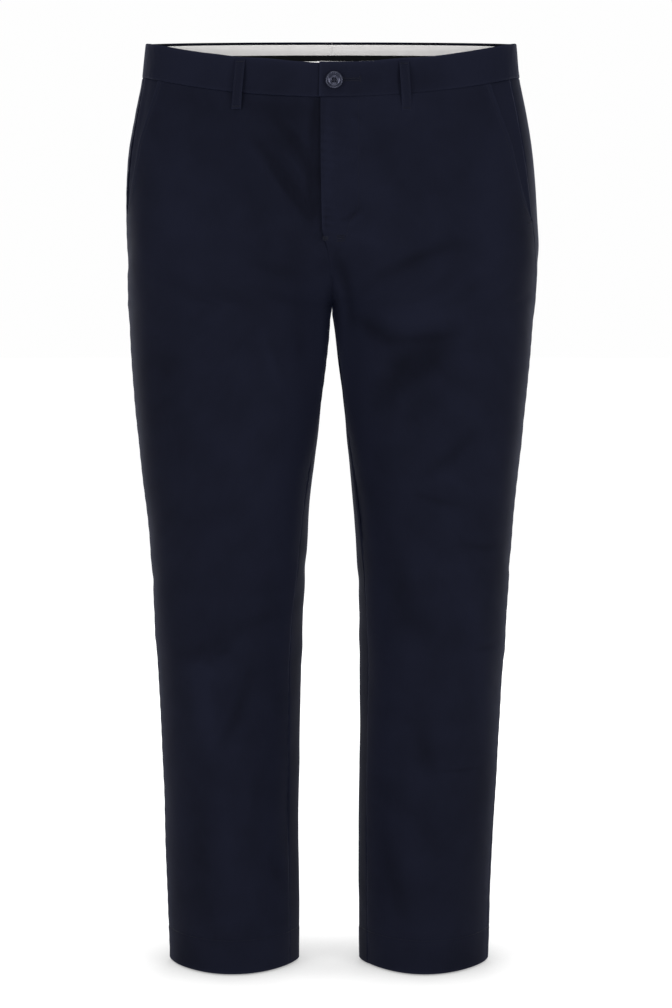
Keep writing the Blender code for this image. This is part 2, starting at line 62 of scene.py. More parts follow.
# The level sections of the hollow form that all the cloth follows: how far each side reaches out and
# in from the centre line, the front and back lines, the widest line's y, the share of the way out at
# which a leg's own rounding starts, and how pointed its edges are.
SECTION_COLUMNS = (
    "height", "outer_left", "outer_right", "inner_left", "inner_right",
    "front", "back", "side_y", "split", "edge",
)
SECTIONS = (
    (FORM_TOP, 211.0, 213.4, 0, 0, -102, 102, 0, 0.00, 0.47),
    (-20, 215.3, 218.0, 0, 0, -105, 107, 1, 0.10, 0.47),
    (-60, 223.7, 225.2, 0, 0, -109, 116, 2, 0.22, 0.46),
    (-100, 230.7, 232.0, 0, 0, -113, 125, 4, 0.36, 0.46),
    (-140, 234.5, 235.1, 0, 0, -115, 132, 6, 0.52, 0.46),
    (-180, 236.8, 235.8, 0, 0, -115, 135, 7, 0.68, 0.46),
    (-220, 238.7, 235.8, 0, 0, -113, 134, 8, 0.84, 0.46),
    (-250, 236.1, 236.0, 0, 0, -110, 130, 8, 0.94, 0.47),
    (FORK, 232.8, 234.3, 0, 0, -106, 125, 8, 1.00, 0.48),
    (-292, 231.8, 233.7, 2.1, 2.0, -104.6, 122.6, 7.7, 1.00, 0.48),
    (-320, 230.0, 232.7, 4.9, 4.3, -102, 117, 7, 1.00, 0.49),
    (-370, 224.8, 229.4, 10.8, 9.0, -98, 109, 5, 1.00, 0.50),
    (-420, 219.9, 224.9, 16.1, 14.8, -95, 103, 4, 1.00, 0.51),
    (-470, 214.2, 218.4, 21.9, 21.6, -92, 98, 3, 1.00, 0.53),
    (-520, 209.7, 211.8, 26.0, 25.9, -89, 94, 2, 1.00, 0.55),
    (-570, 206.5, 207.9, 28.8, 28.2, -87, 91, 2, 1.00, 0.57),
    (-650, 200.3, 202.7, 32.2, 33.5, -83, 86, 1, 1.00, 0.60),
    (-750, 193.0, 196.3, 32.7, 36.2, -79, 81, 1, 1.00, 0.64),
    (-850, 187.7, 192.3, 30.5, 38.6, -76, 78, 1, 1.00, 0.67),
    (-950, 181.9, 189.4, 30.4, 38.5, -74, 75, 0, 1.00, 0.70),
    (-1035, 178.4, 187.5, 31.4, 38.0, -73, 74, 0, 1.00, 0.72),
)
# How nearly straight across a half section may run, and how close two points count as one.
STRAIGHTEST, ONE_POINT = 0.999, 1e-6
# The form's points are worked out once, on a lattice of levels and of shares of the way round, which
# goes on a little past both ends.
RING_POINTS = 121
SHARES_PAST, SHARE_COUNT = 0.2, 1121
SHARES = np.linspace(-SHARES_PAST, 1 + SHARES_PAST, SHARE_COUNT)
LEVEL_STEP, BELOW_HEM = 2.5, 6.0
ABOVE_FORK = np.arange(FORM_TOP, FORK + 0.1, -LEVEL_STEP)
HEIGHTS = np.concatenate([ABOVE_FORK, np.arange(FORK, HEM - BELOW_HEM, -LEVEL_STEP)])
SLOPE_STEP = 3.0
SETTLE_STEPS = 6

# How far ahead of the widest line the side seams run, and of the innermost line the inseams, as
# (height, left, right).
SIDE_LEAD = (
    (FORM_TOP, 38, 16),
    (-60, 48, 25),
    (-95, 51, 27),
    (-150, 49, 24),
    (-185, 47, 21),
    (-230, 38, 15),
    (-290, 21, 8),
    (-340, 14, 5),
    (-1035, 12, 4),
)
INSEAM_LEAD = (
    (FORK, 0, 0),
    (-400, 14, 18),
    (-560, 29, 37),
    (-660, 32, 42),
    (-750, 30, 38),
    (-850, 29.5, 33),
    (-1035, 27.5, 31),
)
# How far past the centre line the left front laps over the right, as (height, lap), and how the
# right front's edge is tucked and pushed in behind it.
FLY_LAP = ((0, 13), (-110, 13), (-196, 11.2), (-218, 5.0), (-252, 0.5), (FORK, 0.02))
FLY_TUCK, FLY_PUSH, PUSH_STARTS, PUSH_ENDS = 8.0, 2.4, 32.0, 16.0
FLY_BOTTOM, FLY_CLOSED, FLY_FLUSH = -190.0, -201.0, -225.0
# The slanted pocket mouth, as (height, distance ahead of the side seam).
POCKET_END = -184.0
POCKET_MOUTH = (
    (-19, 36),
    (-42, 33),
    (-68, 28),
    (-95, 22.5),
    (-122, 21.5),
    (-150, 18),
    (-168, 10.5),
    (POCKET_END, 0),
)


def smoothstep(value, start, end):
    """0 at start and 1 at end, with a soft turn at both."""
    t = np.clip((value - start) / (end - start), 0, 1)
    return t * t * (3 - 2 * t)


def curve_through(table, column):
    """A smooth function of height through one column of a table that runs downwards."""
    rows = sorted((row[0], row[column]) for row in table)
    heights, values = np.array(rows, float).T
    steps = np.diff(values) / np.diff(heights)
    slopes = np.concatenate([steps[:1], (steps[1:] + steps[:-1]) / 2, steps[-1:]])

    def at(height):
        h = np.clip(height, heights[0], heights[-1])
        i = np.clip(np.searchsorted(heights, h) - 1, 0, len(heights) - 2)
        span = heights[i + 1] - heights[i]
        t = (h - heights[i]) / span
        return (
            values[i] * (1 + 2 * t) * (1 - t) ** 2
            + values[i + 1] * t * t * (3 - 2 * t)
            + slopes[i] * span * t * (1 - t) ** 2
            - slopes[i + 1] * span * t * t * (1 - t)
        )

    return at


def straight_through(table):
    """A function of height through a table of two columns, straight between its rows."""
    rows = sorted(table)
    return lambda height: np.interp(height, [row[0] for row in rows], [row[1] for row in rows])


section = {name: curve_through(SECTIONS, i) for i, name in enumerate(SECTION_COLUMNS) if i}
side_lead = {LEFT: curve_through(SIDE_LEAD, 1), RIGHT: curve_through(SIDE_LEAD, 2)}
inseam_lead = {LEFT: curve_through(INSEAM_LEAD, 1), RIGHT: curve_through(INSEAM_LEAD, 2)}
fly_lap, pocket_mouth = straight_through(FLY_LAP), straight_through(POCKET_MOUTH)


def ring(side, height):
    """A half section from the centre front round the side to the centre back, or a leg's whole ring.

    Gives x and y of its points, and each point's distance along it."""
    outer = section["outer_" + SIDE_NAMES[side]](height)
    inner = section["inner_" + SIDE_NAMES[side]](height) if height < FORK else 0.0
    middle = section["side_y"](height)
    centre = section["split"](height) * (outer + inner) / 2
    edge = 2 * section["edge"](height)
    quarter = np.linspace(0, math.pi / 2, RING_POINTS)
    halves = []
    for turn, line in ((FRONT_TURN, "front"), (BACK_TURN, "back")):
        # 1 where the half ring closes, at the fork and below, and near 0 where it runs straight across.
        closing = 1 - min(max((height - FORK) / turn, 0.0), STRAIGHTEST) ** TURN_POWER
        across = np.linspace(math.asin(closing), 0, RING_POINTS)
        inner_x = centre - (centre - inner) * np.sin(across) / closing
        x = np.concatenate([inner_x, centre + (outer - centre) * np.sin(quarter)])
        depth = np.concatenate([np.cos(across), np.cos(quarter)]).clip(0) ** edge
        halves.append((x, middle + (section[line](height) - middle) * depth))
    x = np.concatenate([halves[0][0], halves[1][0][::-1]])
    y = np.concatenate([halves[0][1], halves[1][1][::-1]])
    keep = np.concatenate([[True], np.hypot(np.diff(x), np.diff(y)) > ONE_POINT])
    points = np.stack([side * x[keep], y[keep]], axis=1)
    return points, np.concatenate([[0], np.cumsum(np.hypot(*np.diff(points, axis=0).T))])


def level_section(side, height, on_leg):
    """One row of the lattice: x and y at SHARES, the ring's length and the arc to its widest point.

    Past its ends a half ring goes on round the other side, and a leg's ring round itself."""
    points, arcs = ring(side, height)
    if on_leg:
        run = np.concatenate([arcs[:-1] - arcs[-1], arcs, arcs[1:] + arcs[-1]])
        path = np.concatenate([points[:-1], points, points[1:]])
    else:
        other, other_arcs = ring(-side, height)
        run = np.concatenate([-other_arcs[:0:-1], arcs, arcs[-1] + other_arcs[-1] - other_arcs[-2::-1]])
        path = np.concatenate([other[:0:-1], points, other[-2::-1]])
    at = SHARES * arcs[-1]
    widest = arcs[np.argmax(side * points[:, 0])]
    return np.interp(at, run, path[:, 0]), np.interp(at, run, path[:, 1]), arcs[-1], widest


def lattice(side):
    """The form of one side: a grid of x, one of y, and each row's length and widest arc."""
    first_of_leg = np.argmax(HEIGHTS == FORK) + 1
    rows = [level_section(side, height, i >= first_of_leg) for i, height in enumerate(HEIGHTS)]
    return [np.array(column) for column in zip(*rows)]


form = {side: lattice(side) for side in (LEFT, RIGHT)}


def girth(side, height):
    """How far it is round half the trousers, or round a whole leg below the fork."""
    return np.interp(-np.asarray(height, float), -HEIGHTS, form[side][2])


def outermost(side, height):
    """The arc to the section's widest point."""
    return np.interp(-np.asarray(height, float), -HEIGHTS, form[side][3])


def skin(side, arc, height):
    """Points on the form, from how far round a side they lie and how high."""
    arc, height = np.broadcast_arrays(np.asarray(arc, float), np.asarray(height, float))
    row = np.interp(-height, -HEIGHTS, np.arange(len(HEIGHTS)))
    column = (arc / girth(side, height) - SHARES[0]) / (SHARES[1] - SHARES[0])
    i = np.clip(row.astype(int), 0, len(HEIGHTS) - 2)
    k = np.clip(column.astype(int), 0, len(SHARES) - 2)
    down, along = row - i, np.clip(column - k, 0, 1)
    at = []
    for grid in form[side][:2]:
        high = grid[i, k] * (1 - along) + grid[i, k + 1] * along
        low = grid[i + 1, k] * (1 - along) + grid[i + 1, k + 1] * along
        at.append(high * (1 - down) + low * down)
    return np.stack([*at, height], axis=-1)


def outward(side, arc, height):
    """The form's normals, from its slope round the section and down it."""
    low, high = height - SLOPE_STEP, height + SLOPE_STEP
    share = arc / girth(side, height)
    along = skin(side, arc + SLOPE_STEP, height) - skin(side, arc - SLOPE_STEP, height)
    up = skin(side, share * girth(side, high), high) - skin(side, share * girth(side, low), low)
    normal = side * np.cross(along, up)
    return normal / np.linalg.norm(normal, axis=-1, keepdims=True)


def place(side, arc, height, depth):
    """Points off the form, outside it where depth is above 0."""
    return skin(side, arc, height) + outward(side, arc, height) * np.asarray(depth)[..., None]


def waist_shape(side, share):
    """How far the waistline lies above (+) or below (-) its height at the side."""
    y = skin(side, share * girth(side, 0), 0)[..., 1]
    ahead, behind = np.clip(y / section["front"](0), 0, None), np.clip(y / section["back"](0), 0, None)
    return np.where(y < 0, -FRONT_DIP * ahead**2, BACK_RISE * behind**BACK_RISE_POWER)


def height_at(side, share, level):
    """The height of a row of cloth, which follows the waistline at the top and is level lower down."""
    return level + smoothstep(level, LEVEL_BELOW, BAND_TOP - BAND_HEIGHT) * waist_shape(side, share)


def settle(side, level, arc_of):
    """The share of the ring where a row at this level meets the line arc_of(side, height)."""
    height = level
    for _ in range(SETTLE_STEPS):
        share = arc_of(side, height) / girth(side, height)
        height = height_at(side, share, level)
    return share


def side_seam(side, height):
    """The arc to the side seam."""
    return outermost(side, height) - side_lead[side](height)


def inseam(side, height):
    """The arc to the inseam, or above the fork to the centre front."""
    return np.where(height < FORK, inseam_lead[side](height), 0.0)


def front_edge(side, height):
    """Where a front starts: its fly edge, the crotch seam or the inseam."""
    if height <= FORK:
        return inseam(side, height) + SEAM_GAP / 2
    if side == LEFT:
        return -fly_lap(height)
    tuck = FLY_TUCK - (SEAM_GAP + FLY_TUCK) * smoothstep(height, FLY_BOTTOM, FLY_CLOSED)
    return fly_lap(height) - tuck


def front_side_edge(side, height):
    """Where a front ends: the pocket mouth, and the side seam below it."""
    return side_seam(side, height) - SEAM_GAP / 2 - pocket_mouth(height) * (height > POCKET_END)


def back_side_edge(side, height):
    """Where a back starts: the side seam."""
    return side_seam(side, height) + SEAM_GAP / 2


def back_edge(side, height):
    """Where a back ends: the centre back seam, or past the innermost line at the inseam."""
    return girth(side, height) + inseam(side, height) - SEAM_GAP / 2


def push_in(side, arc, height):
    """How far the right side's edge is pushed in behind the left at the fly."""
    if side == LEFT:
        return np.zeros(np.broadcast(arc, height).shape)
    return -FLY_PUSH * smoothstep(arc, PUSH_STARTS, PUSH_ENDS) * smoothstep(height, FLY_FLUSH, FLY_CLOSED)


# The creases, listed one by one, as (seen from, from a, from z, to a, to z, bow, width, depth): a runs
# across as seen from that side, which is x from the front or back and y from a side, and z up.
# A depth above 0 is a ridge and below 0 a trough, and bow bends it sideways.
CREASES = (
    ("front", -15, -30, -20, -176, 0, 8, -2.3),
    ("front", -52, -42, -24, -196, 0, 26, -0.8),
    ("front", -89, -93, -28, -181, -3, 8, -1.3),
    ("front", -60, -75, -16, -136, -2, 6, -1.3),
    ("front", -66, -127, -23, -183, -2, 6, -1.2),
    ("front", -54, -107, -28, -145, -1, 4, 0.6),
    ("front", -102, -56, -35, -63, 3, 14, -0.9),
    ("front", -143, -47, -119, -72, 2, 12, -0.6),
    ("front", -188, -79, -160, -225, 6, 30, 0.7),
    ("front", 182, -60, 192, -320, 4, 30, 1.0),
    ("front", 108, -60, 120, -190, 5, 26, 0.1),
    ("front", -7, -57, -5, -168, 0, 8, 0.8),
    ("front", -92, -130, -70, -215, 0, 22, -0.5),
    ("front", -45, -170, -35, -238, 0, 16, -0.4),
    ("front", 22, -64, 34, -75, 1, 4, -0.6),
    ("front", 57, -94, 82, -158, 5, 16, -0.6),
    ("front", 11, -186, 31, -172, 1.5, 2.2, -1.3),
    ("front", -6.6, -163, -6.4, -198, 0, 1.3, -0.5),
    ("front", 17, -192, 36, -176, 1, 3.5, 0.6),
    ("front", 57, -247, 134, -211, -2, 9, -1.2),
    ("front", 21, -196, 59, -218, 2, 9, 0.5),
    ("front", 9, -232, 19, -304, -2, 8, -2.0),
    ("front", 20, -292, 62, -318, -2, 11, -1.3),
    ("front", 50, -294, 138, -290, 3, 13, 1.0),
    ("front", 59, -273, 132, -271, 2, 14, 0.5),
    ("front", 61, -318, 134, -312, 2, 7, -1.0),
    ("front", 128, -320, 50, -388, 5, 20, -1.8),
    ("front", 112, -350, 84, -452, 2, 24, -0.5),
    ("front", 46, -392, 56, -564, 5, 22, -0.4),
    ("front", -35, -274, -22, -408, 4, 12, -0.6),
    ("front", -78, -307, -55, -377, 2, 7, 0.6),
    ("front", -98, -232, -33, -256, -3, 10, -0.8),
    ("front", -196, -321, -174, -370, 4, 14, -0.5),
    ("front", -174, -680, -113, -652, -2, 11, -0.65),
    ("front", -118, -653, -44, -622, -3, 13, -0.5),
    ("front", -131, -670, -111, -663, 0.5, 3.5, -0.7),
    ("front", -164, -692, -122, -690, 1, 12, 0.9),
    ("front", -148, -694, -134, -776, 2, 15, 1.3),
    ("front", -91, -694, -127, -778, -3, 9, -1.0),
    ("front", -78, -805, -86, -888, 2, 12, -0.6),
    ("front", -147, -821, -141, -983, 3, 16, -0.6),
    ("front", -66, -901, -56, -946, 1, 7, -0.7),
    ("front", -118, -832, -112, -944, 2, 10, 0.4),
    ("front", 162, -417, 99, -473, -3, 9, -0.8),
    ("front", 91, -489, 147, -503, 2, 5, -0.7),
    ("front", 114, -465, 155, -488, -1, 7, 0.5),
    ("front", 68, -577, 112, -653, 4, 21, -0.8),
    ("front", 149, -564, 174, -787, -5, 16, 0.8),
    ("front", 146, -547, 190, -551, 2, 5, -0.7),
    ("front", 161, -667, 186, -662, 1, 4, -0.8),
    ("front", 99, -752, 110, -801, 2, 13, -0.7),
    ("front", 114, -800, 170, -801, 1, 2.2, -0.7),
    ("front", 54, -821, 121, -888, -4, 16, -0.6),
    ("front", 54, -877, 78, -977, -3, 12, -0.75),
    ("front", 66, -455, 78, -720, 6, 30, -0.35),
    ("front", 108, -560, 104, -960, 0, 18, -0.35),
    ("front", 2, -24, 34, -23, 1, 2.6, -0.5),
    ("front", -6, -212, 4, -213, 1, 2.4, -0.6),
    ("front", 4, -224, 12, -216, -2, 3, -0.7),
    ("back", 6, -236, 66, -286, 7, 11, -2.4),
    ("back", -7, -230, -74, -276, -8, 12, -2.2),
    ("back", 16, -262, 128, -318, -9, 15, 1.6),
    ("back", -20, -256, -140, -326, 10, 16, 1.8),
    ("back", 22, -300, 136, -344, -7, 13, -2.0),
    ("back", -26, -306, -150, -352, 8, 13, -1.9),
    ("back", 44, -362, 150, -382, 6, 16, 1.0),
    ("back", -40, -372, -156, -388, -6, 17, 1.1),
    ("back", 54, -556, 168, -586, 8, 13, -1.8),
    ("back", -60, -566, -172, -552, -8, 14, -1.6),
    ("back", 66, -604, 158, -618, -6, 13, 1.4),
    ("back", -58, -600, -150, -624, 6, 14, 1.3),
    ("back", 52, -640, 142, -668, 6, 13, -1.3),
    ("back", -72, -656, -164, -640, -6, 12, -1.1),
    ("back", 84, -700, 150, -694, 4, 14, 0.8),
    ("back", -60, -690, -132, -712, -5, 14, 0.8),
    ("back", 60, -840, 140, -868, 5, 15, -0.7),
    ("left", -44, -206, 46, -240, 7, 14, -1.1),
    ("left", -50, -268, 40, -300, -6, 16, 0.9),
    ("left", -34, -556, 54, -596, 7, 14, -1.1),
    ("left", -46, -664, 36, -690, -5, 15, 0.8),
    ("right", -40, -212, 50, -244, 7, 14, -1.1),
    ("right", -46, -262, 44, -306, -6, 16, 0.9),
    ("right", -40, -574, 50, -606, 7, 14, -1.1),
    ("right", -36, -650, 40, -680, -5, 15, 0.8),
)
VIEWS = {"front": (0, -1), "back": (0, 1), "left": (1, 0), "right": (-1, 0)}
# The share of its depth that a crease has at its ends, how deep the rim of the other sign is beside
# it, and how far the cloth may turn from the view before the crease is gone.
CREASE_ENDS, CREASE_RIM, CREASE_TURN = 0.35, 0.4, (0.05, 0.5)
# Slow swells of the cloth, as (how high, how long a wave is round the form, and down it), and how
# much the waves sway and bend each other.
SWELLS = ((1.0, 380, 640), (0.6, 190, 330), (0.3, 104, 180), (0.1, 52, 84))
SWAY_DOWN, SWAY_ROUND, SWAY_SLOWER = 0.8, 0.6, 0.6
SWELL_SEED = 7
swell_draw = np.random.default_rng(SWELL_SEED)
swell_turns = {side: swell_draw.uniform(0, 2 * math.pi, (len(SWELLS), 4)) for side in (LEFT, RIGHT)}
# Puckers where a seam holds the cloth: how high, how long, how far from the seam they die out, and
# how far and how slowly their spacing strays.
PUCKER_HIGH, PUCKER_LONG, PUCKER_REACH = 0.17, 17.0, 15.0
PUCKER_STRAY, PUCKER_STRAY_LONG = 1.6, 41.0
FAR_FROM_SEAMS = 99.0
# The double cloth of the fly ripples between its edge and its stitching, most beside its edge. The
# ripples slant and stray, come and go, are faint higher up and end at the fly's foot.
FLY_RIPPLE_HIGH, FLY_RIPPLE_LONG, FLY_RIPPLE_SLANT = 0.36, 9.6, 0.15
FLY_STRAY, FLY_STRAY_LONG = 1.8, 27.0
FLY_COME_AND_GO, FLY_COME_AND_GO_LONG = 0.4, 19.0
FLY_BESIDE_EDGE, FLY_INSIDE, FLY_STITCH_ARC, FLY_STITCH_REACH = 6.0, 0.25, 29.3, 8.0
FLY_FAINT, FLY_FAINT_ABOVE, FLY_RIPPLE_FOOT = 0.35, (-80, -120), (-212, -190)
# The pocket mouths stand off, from a little above their lower ends.
MOUTH_LIFT, MOUTH_LIFT_REACH, MOUTH_LIFT_ABOVE = 0.7, 9.0, (6, 40)
# The waist seam and the crotch seam hold the cloth closer to the form, by this share of its relief.
HELD_SHARE, HELD_AT_WAIST, HELD_AT_CROTCH, HELD_BELOW_FORK = 0.7, (-60, -22), (30, 6), 40


def crease_depth(points, normals):
    """How far the creases lift or sink the cloth at these points of the form."""
    total = np.zeros(points.shape[:-1])
    for seen_from, from_a, from_z, to_a, to_z, bow, width, depth in CREASES:
        facing = normals[..., :2] @ np.array(VIEWS[seen_from], float)
        a, z = points[..., 0 if seen_from in ("front", "back") else 1], points[..., 2]
        run_a, run_z = to_a - from_a, to_z - from_z
        length = math.hypot(run_a, run_z)
        along = ((a - from_a) * run_a + (z - from_z) * run_z) / length**2
        aside = ((a - from_a) * run_z - (z - from_z) * run_a) / length
        t = np.clip(along, 0, 1)
        off = np.hypot(aside - bow * 4 * t * (1 - t), (along - t) * length) / width
        shown = (CREASE_ENDS + (1 - CREASE_ENDS) * np.sin(math.pi * t)) * smoothstep(facing, *CREASE_TURN)
        total += depth * shown * (1 - CREASE_RIM * off**2) * np.exp(-(off**2))
    return total


def swell_depth(side, arc, height):
    """How far the slow swells lift the cloth."""
    total = np.zeros(np.broadcast(arc, height).shape)
    for (high, wave_round, wave_down), turns in zip(SWELLS, swell_turns[side]):
        round_turn, down_turn = 2 * math.pi * arc / wave_round, 2 * math.pi * height / wave_down
        bend = SWAY_DOWN * np.sin(down_turn + turns[2])
        bend = bend + SWAY_ROUND * np.sin(round_turn * SWAY_SLOWER + turns[3])
        total += high * np.sin(round_turn + turns[0] + bend) * np.sin(down_turn + turns[1] + bend)
    return total


def pucker_depth(from_seam, height, turn):
    """How far a seam puckers the cloth, turn being where its waves start."""
    stray = PUCKER_STRAY * np.sin(height / PUCKER_STRAY_LONG + turn)
    wave = np.sin(2 * math.pi * height / PUCKER_LONG + turn + stray)
    return PUCKER_HIGH * wave * np.exp(-np.abs(from_seam) / PUCKER_REACH)


def fly_ripple(arc, height):
    """How far the fly's double cloth ripples."""
    inside = smoothstep(arc, FLY_STITCH_ARC, FLY_STITCH_ARC - FLY_STITCH_REACH)
    across = smoothstep(arc, FLY_BESIDE_EDGE, -FLY_BESIDE_EDGE) + FLY_INSIDE * inside
    down = FLY_FAINT + (1 - FLY_FAINT) * smoothstep(height, *FLY_FAINT_ABOVE)
    down = smoothstep(height, *FLY_RIPPLE_FOOT) * down
    stray = FLY_STRAY * np.sin(height / FLY_STRAY_LONG)
    ripple = np.sin(2 * math.pi * (height + FLY_RIPPLE_SLANT * arc) / FLY_RIPPLE_LONG + stray)
    coming = 1 - FLY_COME_AND_GO + FLY_COME_AND_GO * np.sin(height / FLY_COME_AND_GO_LONG)
    return FLY_RIPPLE_HIGH * across * down * ripple * coming


def seam_depth(side, arc, height):
    """How far the seams pucker the cloth, the fly ripples, and the pocket mouths stand off."""
    depth = pucker_depth(arc - side_seam(side, height), height, side)
    from_inseam = np.where(height < FORK, arc - inseam(side, height), FAR_FROM_SEAMS)
    depth += pucker_depth(from_inseam, height, 2 + side)
    if side == LEFT:
        depth += fly_ripple(arc, height)
    from_mouth = side_seam(side, height) - pocket_mouth(height) - arc
    lifted_from, lifted_wholly = (POCKET_END + above for above in MOUTH_LIFT_ABOVE)
    at_mouth = (from_mouth > -1) * smoothstep(height, lifted_from, lifted_wholly)
    return depth + MOUTH_LIFT * at_mouth * np.exp(-((from_mouth / MOUTH_LIFT_REACH) ** 2))


def cloth_depth(side, arc, height):
    """How far the outside of the legs' cloth lies off the form."""
    depth = crease_depth(skin(side, arc, height), outward(side, arc, height))
    depth += swell_depth(side, arc, height)
    at_crotch = smoothstep(np.abs(arc), *HELD_AT_CROTCH) * smoothstep(height, FORK - HELD_BELOW_FORK, FORK)
    held = smoothstep(height, *HELD_AT_WAIST) + at_crotch
    depth *= 1 - HELD_SHARE * np.clip(held, 0, 1)
    return depth + seam_depth(side, arc, height) + push_in(side, arc, height)


def linear(hex_colour):
    """An sRGB hex colour as linear red, green, blue and alpha."""
    parts = [int(hex_colour[i : i + 2], 16) / 255 for i in (1, 3, 5)]
    return (*(v / 12.92 if v <= 0.04045 else ((v + 0.055) / 1.055) ** 2.4 for v in parts), 1.0)


def add(tree, kind, settings, inputs):
    """Adds a node with these settings and these inputs, as values or links, and gives its outputs."""
    node = tree.nodes.new("ShaderNode" + kind)
    for name, value in settings.items():
        setattr(node, name, value)
    for key, value in inputs.items():
        if isinstance(value, bpy.types.NodeSocket):
            tree.links.new(value, node.inputs[key])
        else:
            node.inputs[key].default_value = value
    return node.outputs


def new_material(name):
    """A material with an empty node tree, and the tree."""
    made = bpy.data.materials.new(name)
    made.use_nodes = True
    made.node_tree.nodes.clear()
    return made, made.node_tree


def wave_scale(gap):
    """A Wave texture's scale for bands this many mm apart. At scale 1 they are 2 pi / 20 apart."""
    return 2 * math.pi / (20 * gap * MM)


def noise_scale(size):
    """A Noise texture's scale for lumps of this size in mm."""
    return 1 / (size * MM)


# Piece-dyed, brushed cotton twill is matt, with a fine diagonal rib, slubs down the grain, soft uneven
# dye, a faint bluish bloom where it turns away, and paler edges where folds are rubbed. Light and shade
# are also painted into its dye: paler on ridges, between the legs and round the fork, darker in troughs,
# along the inseams and on the inside.
TWILL_RIB = 1.2  # the real ribs are 0.5 mm apart, drawn coarser so that they show
TWILL_SLANT = math.radians(63)
SLUB_WIDE, SLUB_LONG, SLUB_SHARE = 10 / 9, 50 / 3, 0.5
DYE_CLOUD, NAP_TUFT, NAP_SHARE, NAP_HEIGHT = 125 / 3, 10 / 13, 0.9, 0.12
MIX_FACTOR, MIX_A, MIX_B, MIX_RESULT = 0, 6, 7, 2
MIX = {"data_type": "RGBA"}


def cotton_twill(name, dyed_and_painted_shade, faded_and_painted_light, rubbed_and_painted_light):
    """The first two colours are the dark and pale ends of the dye's unevenness, and they also paint shade
    in troughs and light on ridges; the third colour shows where wear has paled the edges, and as painted
    light round the fork.
    """
    made, tree = new_material(name)
    grain = add(tree, "UVMap", {"uv_map": "grain"}, {})["UV"]
    turned = add(tree, "Mapping", {}, {"Vector": grain, "Rotation": (0, 0, TWILL_SLANT)})["Vector"]
    rib_look = {"Vector": turned, "Scale": wave_scale(TWILL_RIB), "Distortion": 1.2}
    rib = add(tree, "TexWave", {}, rib_look)["Fac"]
    slub_scale = (noise_scale(SLUB_WIDE), noise_scale(SLUB_LONG), 1)
    down_grain = add(tree, "Mapping", {}, {"Vector": grain, "Scale": slub_scale})["Vector"]
    slubs = add(tree, "TexNoise", {}, {"Vector": down_grain, "Scale": 1.0, "Detail": 2.0})["Fac"]
    cloud_look = {"Vector": grain, "Scale": noise_scale(DYE_CLOUD), "Detail": 5.0}
    dye = add(tree, "TexNoise", {}, cloud_look)["Fac"]
    tuft_look = {"Vector": grain, "Scale": noise_scale(NAP_TUFT), "Detail": 2.0}
    tufts = add(tree, "TexNoise", {}, tuft_look)["Fac"]
    # This attribute paints light and shade into the dye: paler on ridges, between the legs and on the
    # pocket facings, darker in troughs, along the inseams and on the inside.
    painted_light_and_fade = add(tree, "Attribute", {"attribute_name": "painted_light_and_fade"}, {})["Fac"]
    uneven = add(tree, "Math", {"operation": "MULTIPLY_ADD"}, {0: slubs, 1: SLUB_SHARE, 2: dye})[0]
    faint_look = {"Value": uneven, "From Min": 0.4, "From Max": 1.1, "To Max": 0.5}
    faint = add(tree, "MapRange", {}, faint_look)[0]
    share = add(tree, "Math", {"operation": "ADD", "use_clamp": True}, {0: faint, 1: painted_light_and_fade})[0]
    body = add(tree, "Mix", MIX, {MIX_FACTOR: share, MIX_A: linear(dyed_and_painted_shade), MIX_B: linear(faded_and_painted_light)})
    # This attribute is edge wear, with light painted on round the fork as well.
    wear_and_painted_light = add(tree, "Attribute", {"attribute_name": "wear_and_painted_light"}, {})["Fac"]
    lifted = add(tree, "MapRange", {}, {"Value": rib, "To Min": 0.5, "To Max": 1.0})[0]
    rubbing_and_painted_light = add(tree, "Math", {"operation": "MULTIPLY"}, {0: wear_and_painted_light, 1: lifted})[0]
    wear_and_light_look = {MIX_FACTOR: rubbing_and_painted_light, MIX_A: body[MIX_RESULT], MIX_B: linear(rubbed_and_painted_light)}
    colour = add(tree, "Mix", MIX, wear_and_light_look)
    nap = add(tree, "Math", {"operation": "MULTIPLY_ADD"}, {0: tufts, 1: NAP_SHARE, 2: rib})[0]
    weave_look = {"Height": nap, "Strength": 0.4, "Distance": NAP_HEIGHT * MM}
    weave = add(tree, "Bump", {}, weave_look)["Normal"]
    cloth = add(
        tree, "BsdfPrincipled", {},
        {
            "Base Color": colour[MIX_RESULT],
            "Roughness": 0.86,
            "Specular IOR Level": 0.05,
            "Sheen Weight": 0.07,
            "Sheen Roughness": 0.3,
            "Sheen Tint": linear("#7C8ACB"),
            "Normal": weave,
        },
    )
    add(tree, "OutputMaterial", {}, {"Surface": cloth["BSDF"]})
    return made


navy_twill = cotton_twill("navy_cotton_twill", "#05060E", "#0F111D", "#242738")

# The dye's level on even cloth, and the painted light and shade that relief adds to it: the height of
# ridge that paints the cloth wholly pale, troughs being painted darker the same way, and how much the
# swells and the seams' puckers count in that.
EVEN_FADE_LEVEL, PAINTED_LIGHT_RELIEF, PAINTED_LIGHT_MOST = 0.46, 3.0, 1.0
SWELL_PAINTED_LIGHT, SEAM_PAINTED_LIGHT = 0.2, 1.6
# Light is painted between the legs, where they shade each other: this much and this far out from a leg's
# innermost line, from just above the fork down, and less below the knees.
LEG_PAINTED_LIGHT, LEG_PAINTED_LIGHT_REACH, LEG_PAINTED_LIGHT_ABOVE_FORK = 0.6, 38.0, (50, 5)
LEG_PAINTED_LIGHT_LOW, LEG_PAINTED_LIGHT_KNEES = 0.55, (-760, -480)
# Light is painted round the fork too, in the colour of wear.
FORK_PAINTED_LIGHT, FORK_PAINTED_LIGHT_REACH, FORK_PAINTED_LIGHT_ABOVE, FORK_PAINTED_LIGHT_BELOW = 0.35, 15.0, (45, 8), (150, 20)
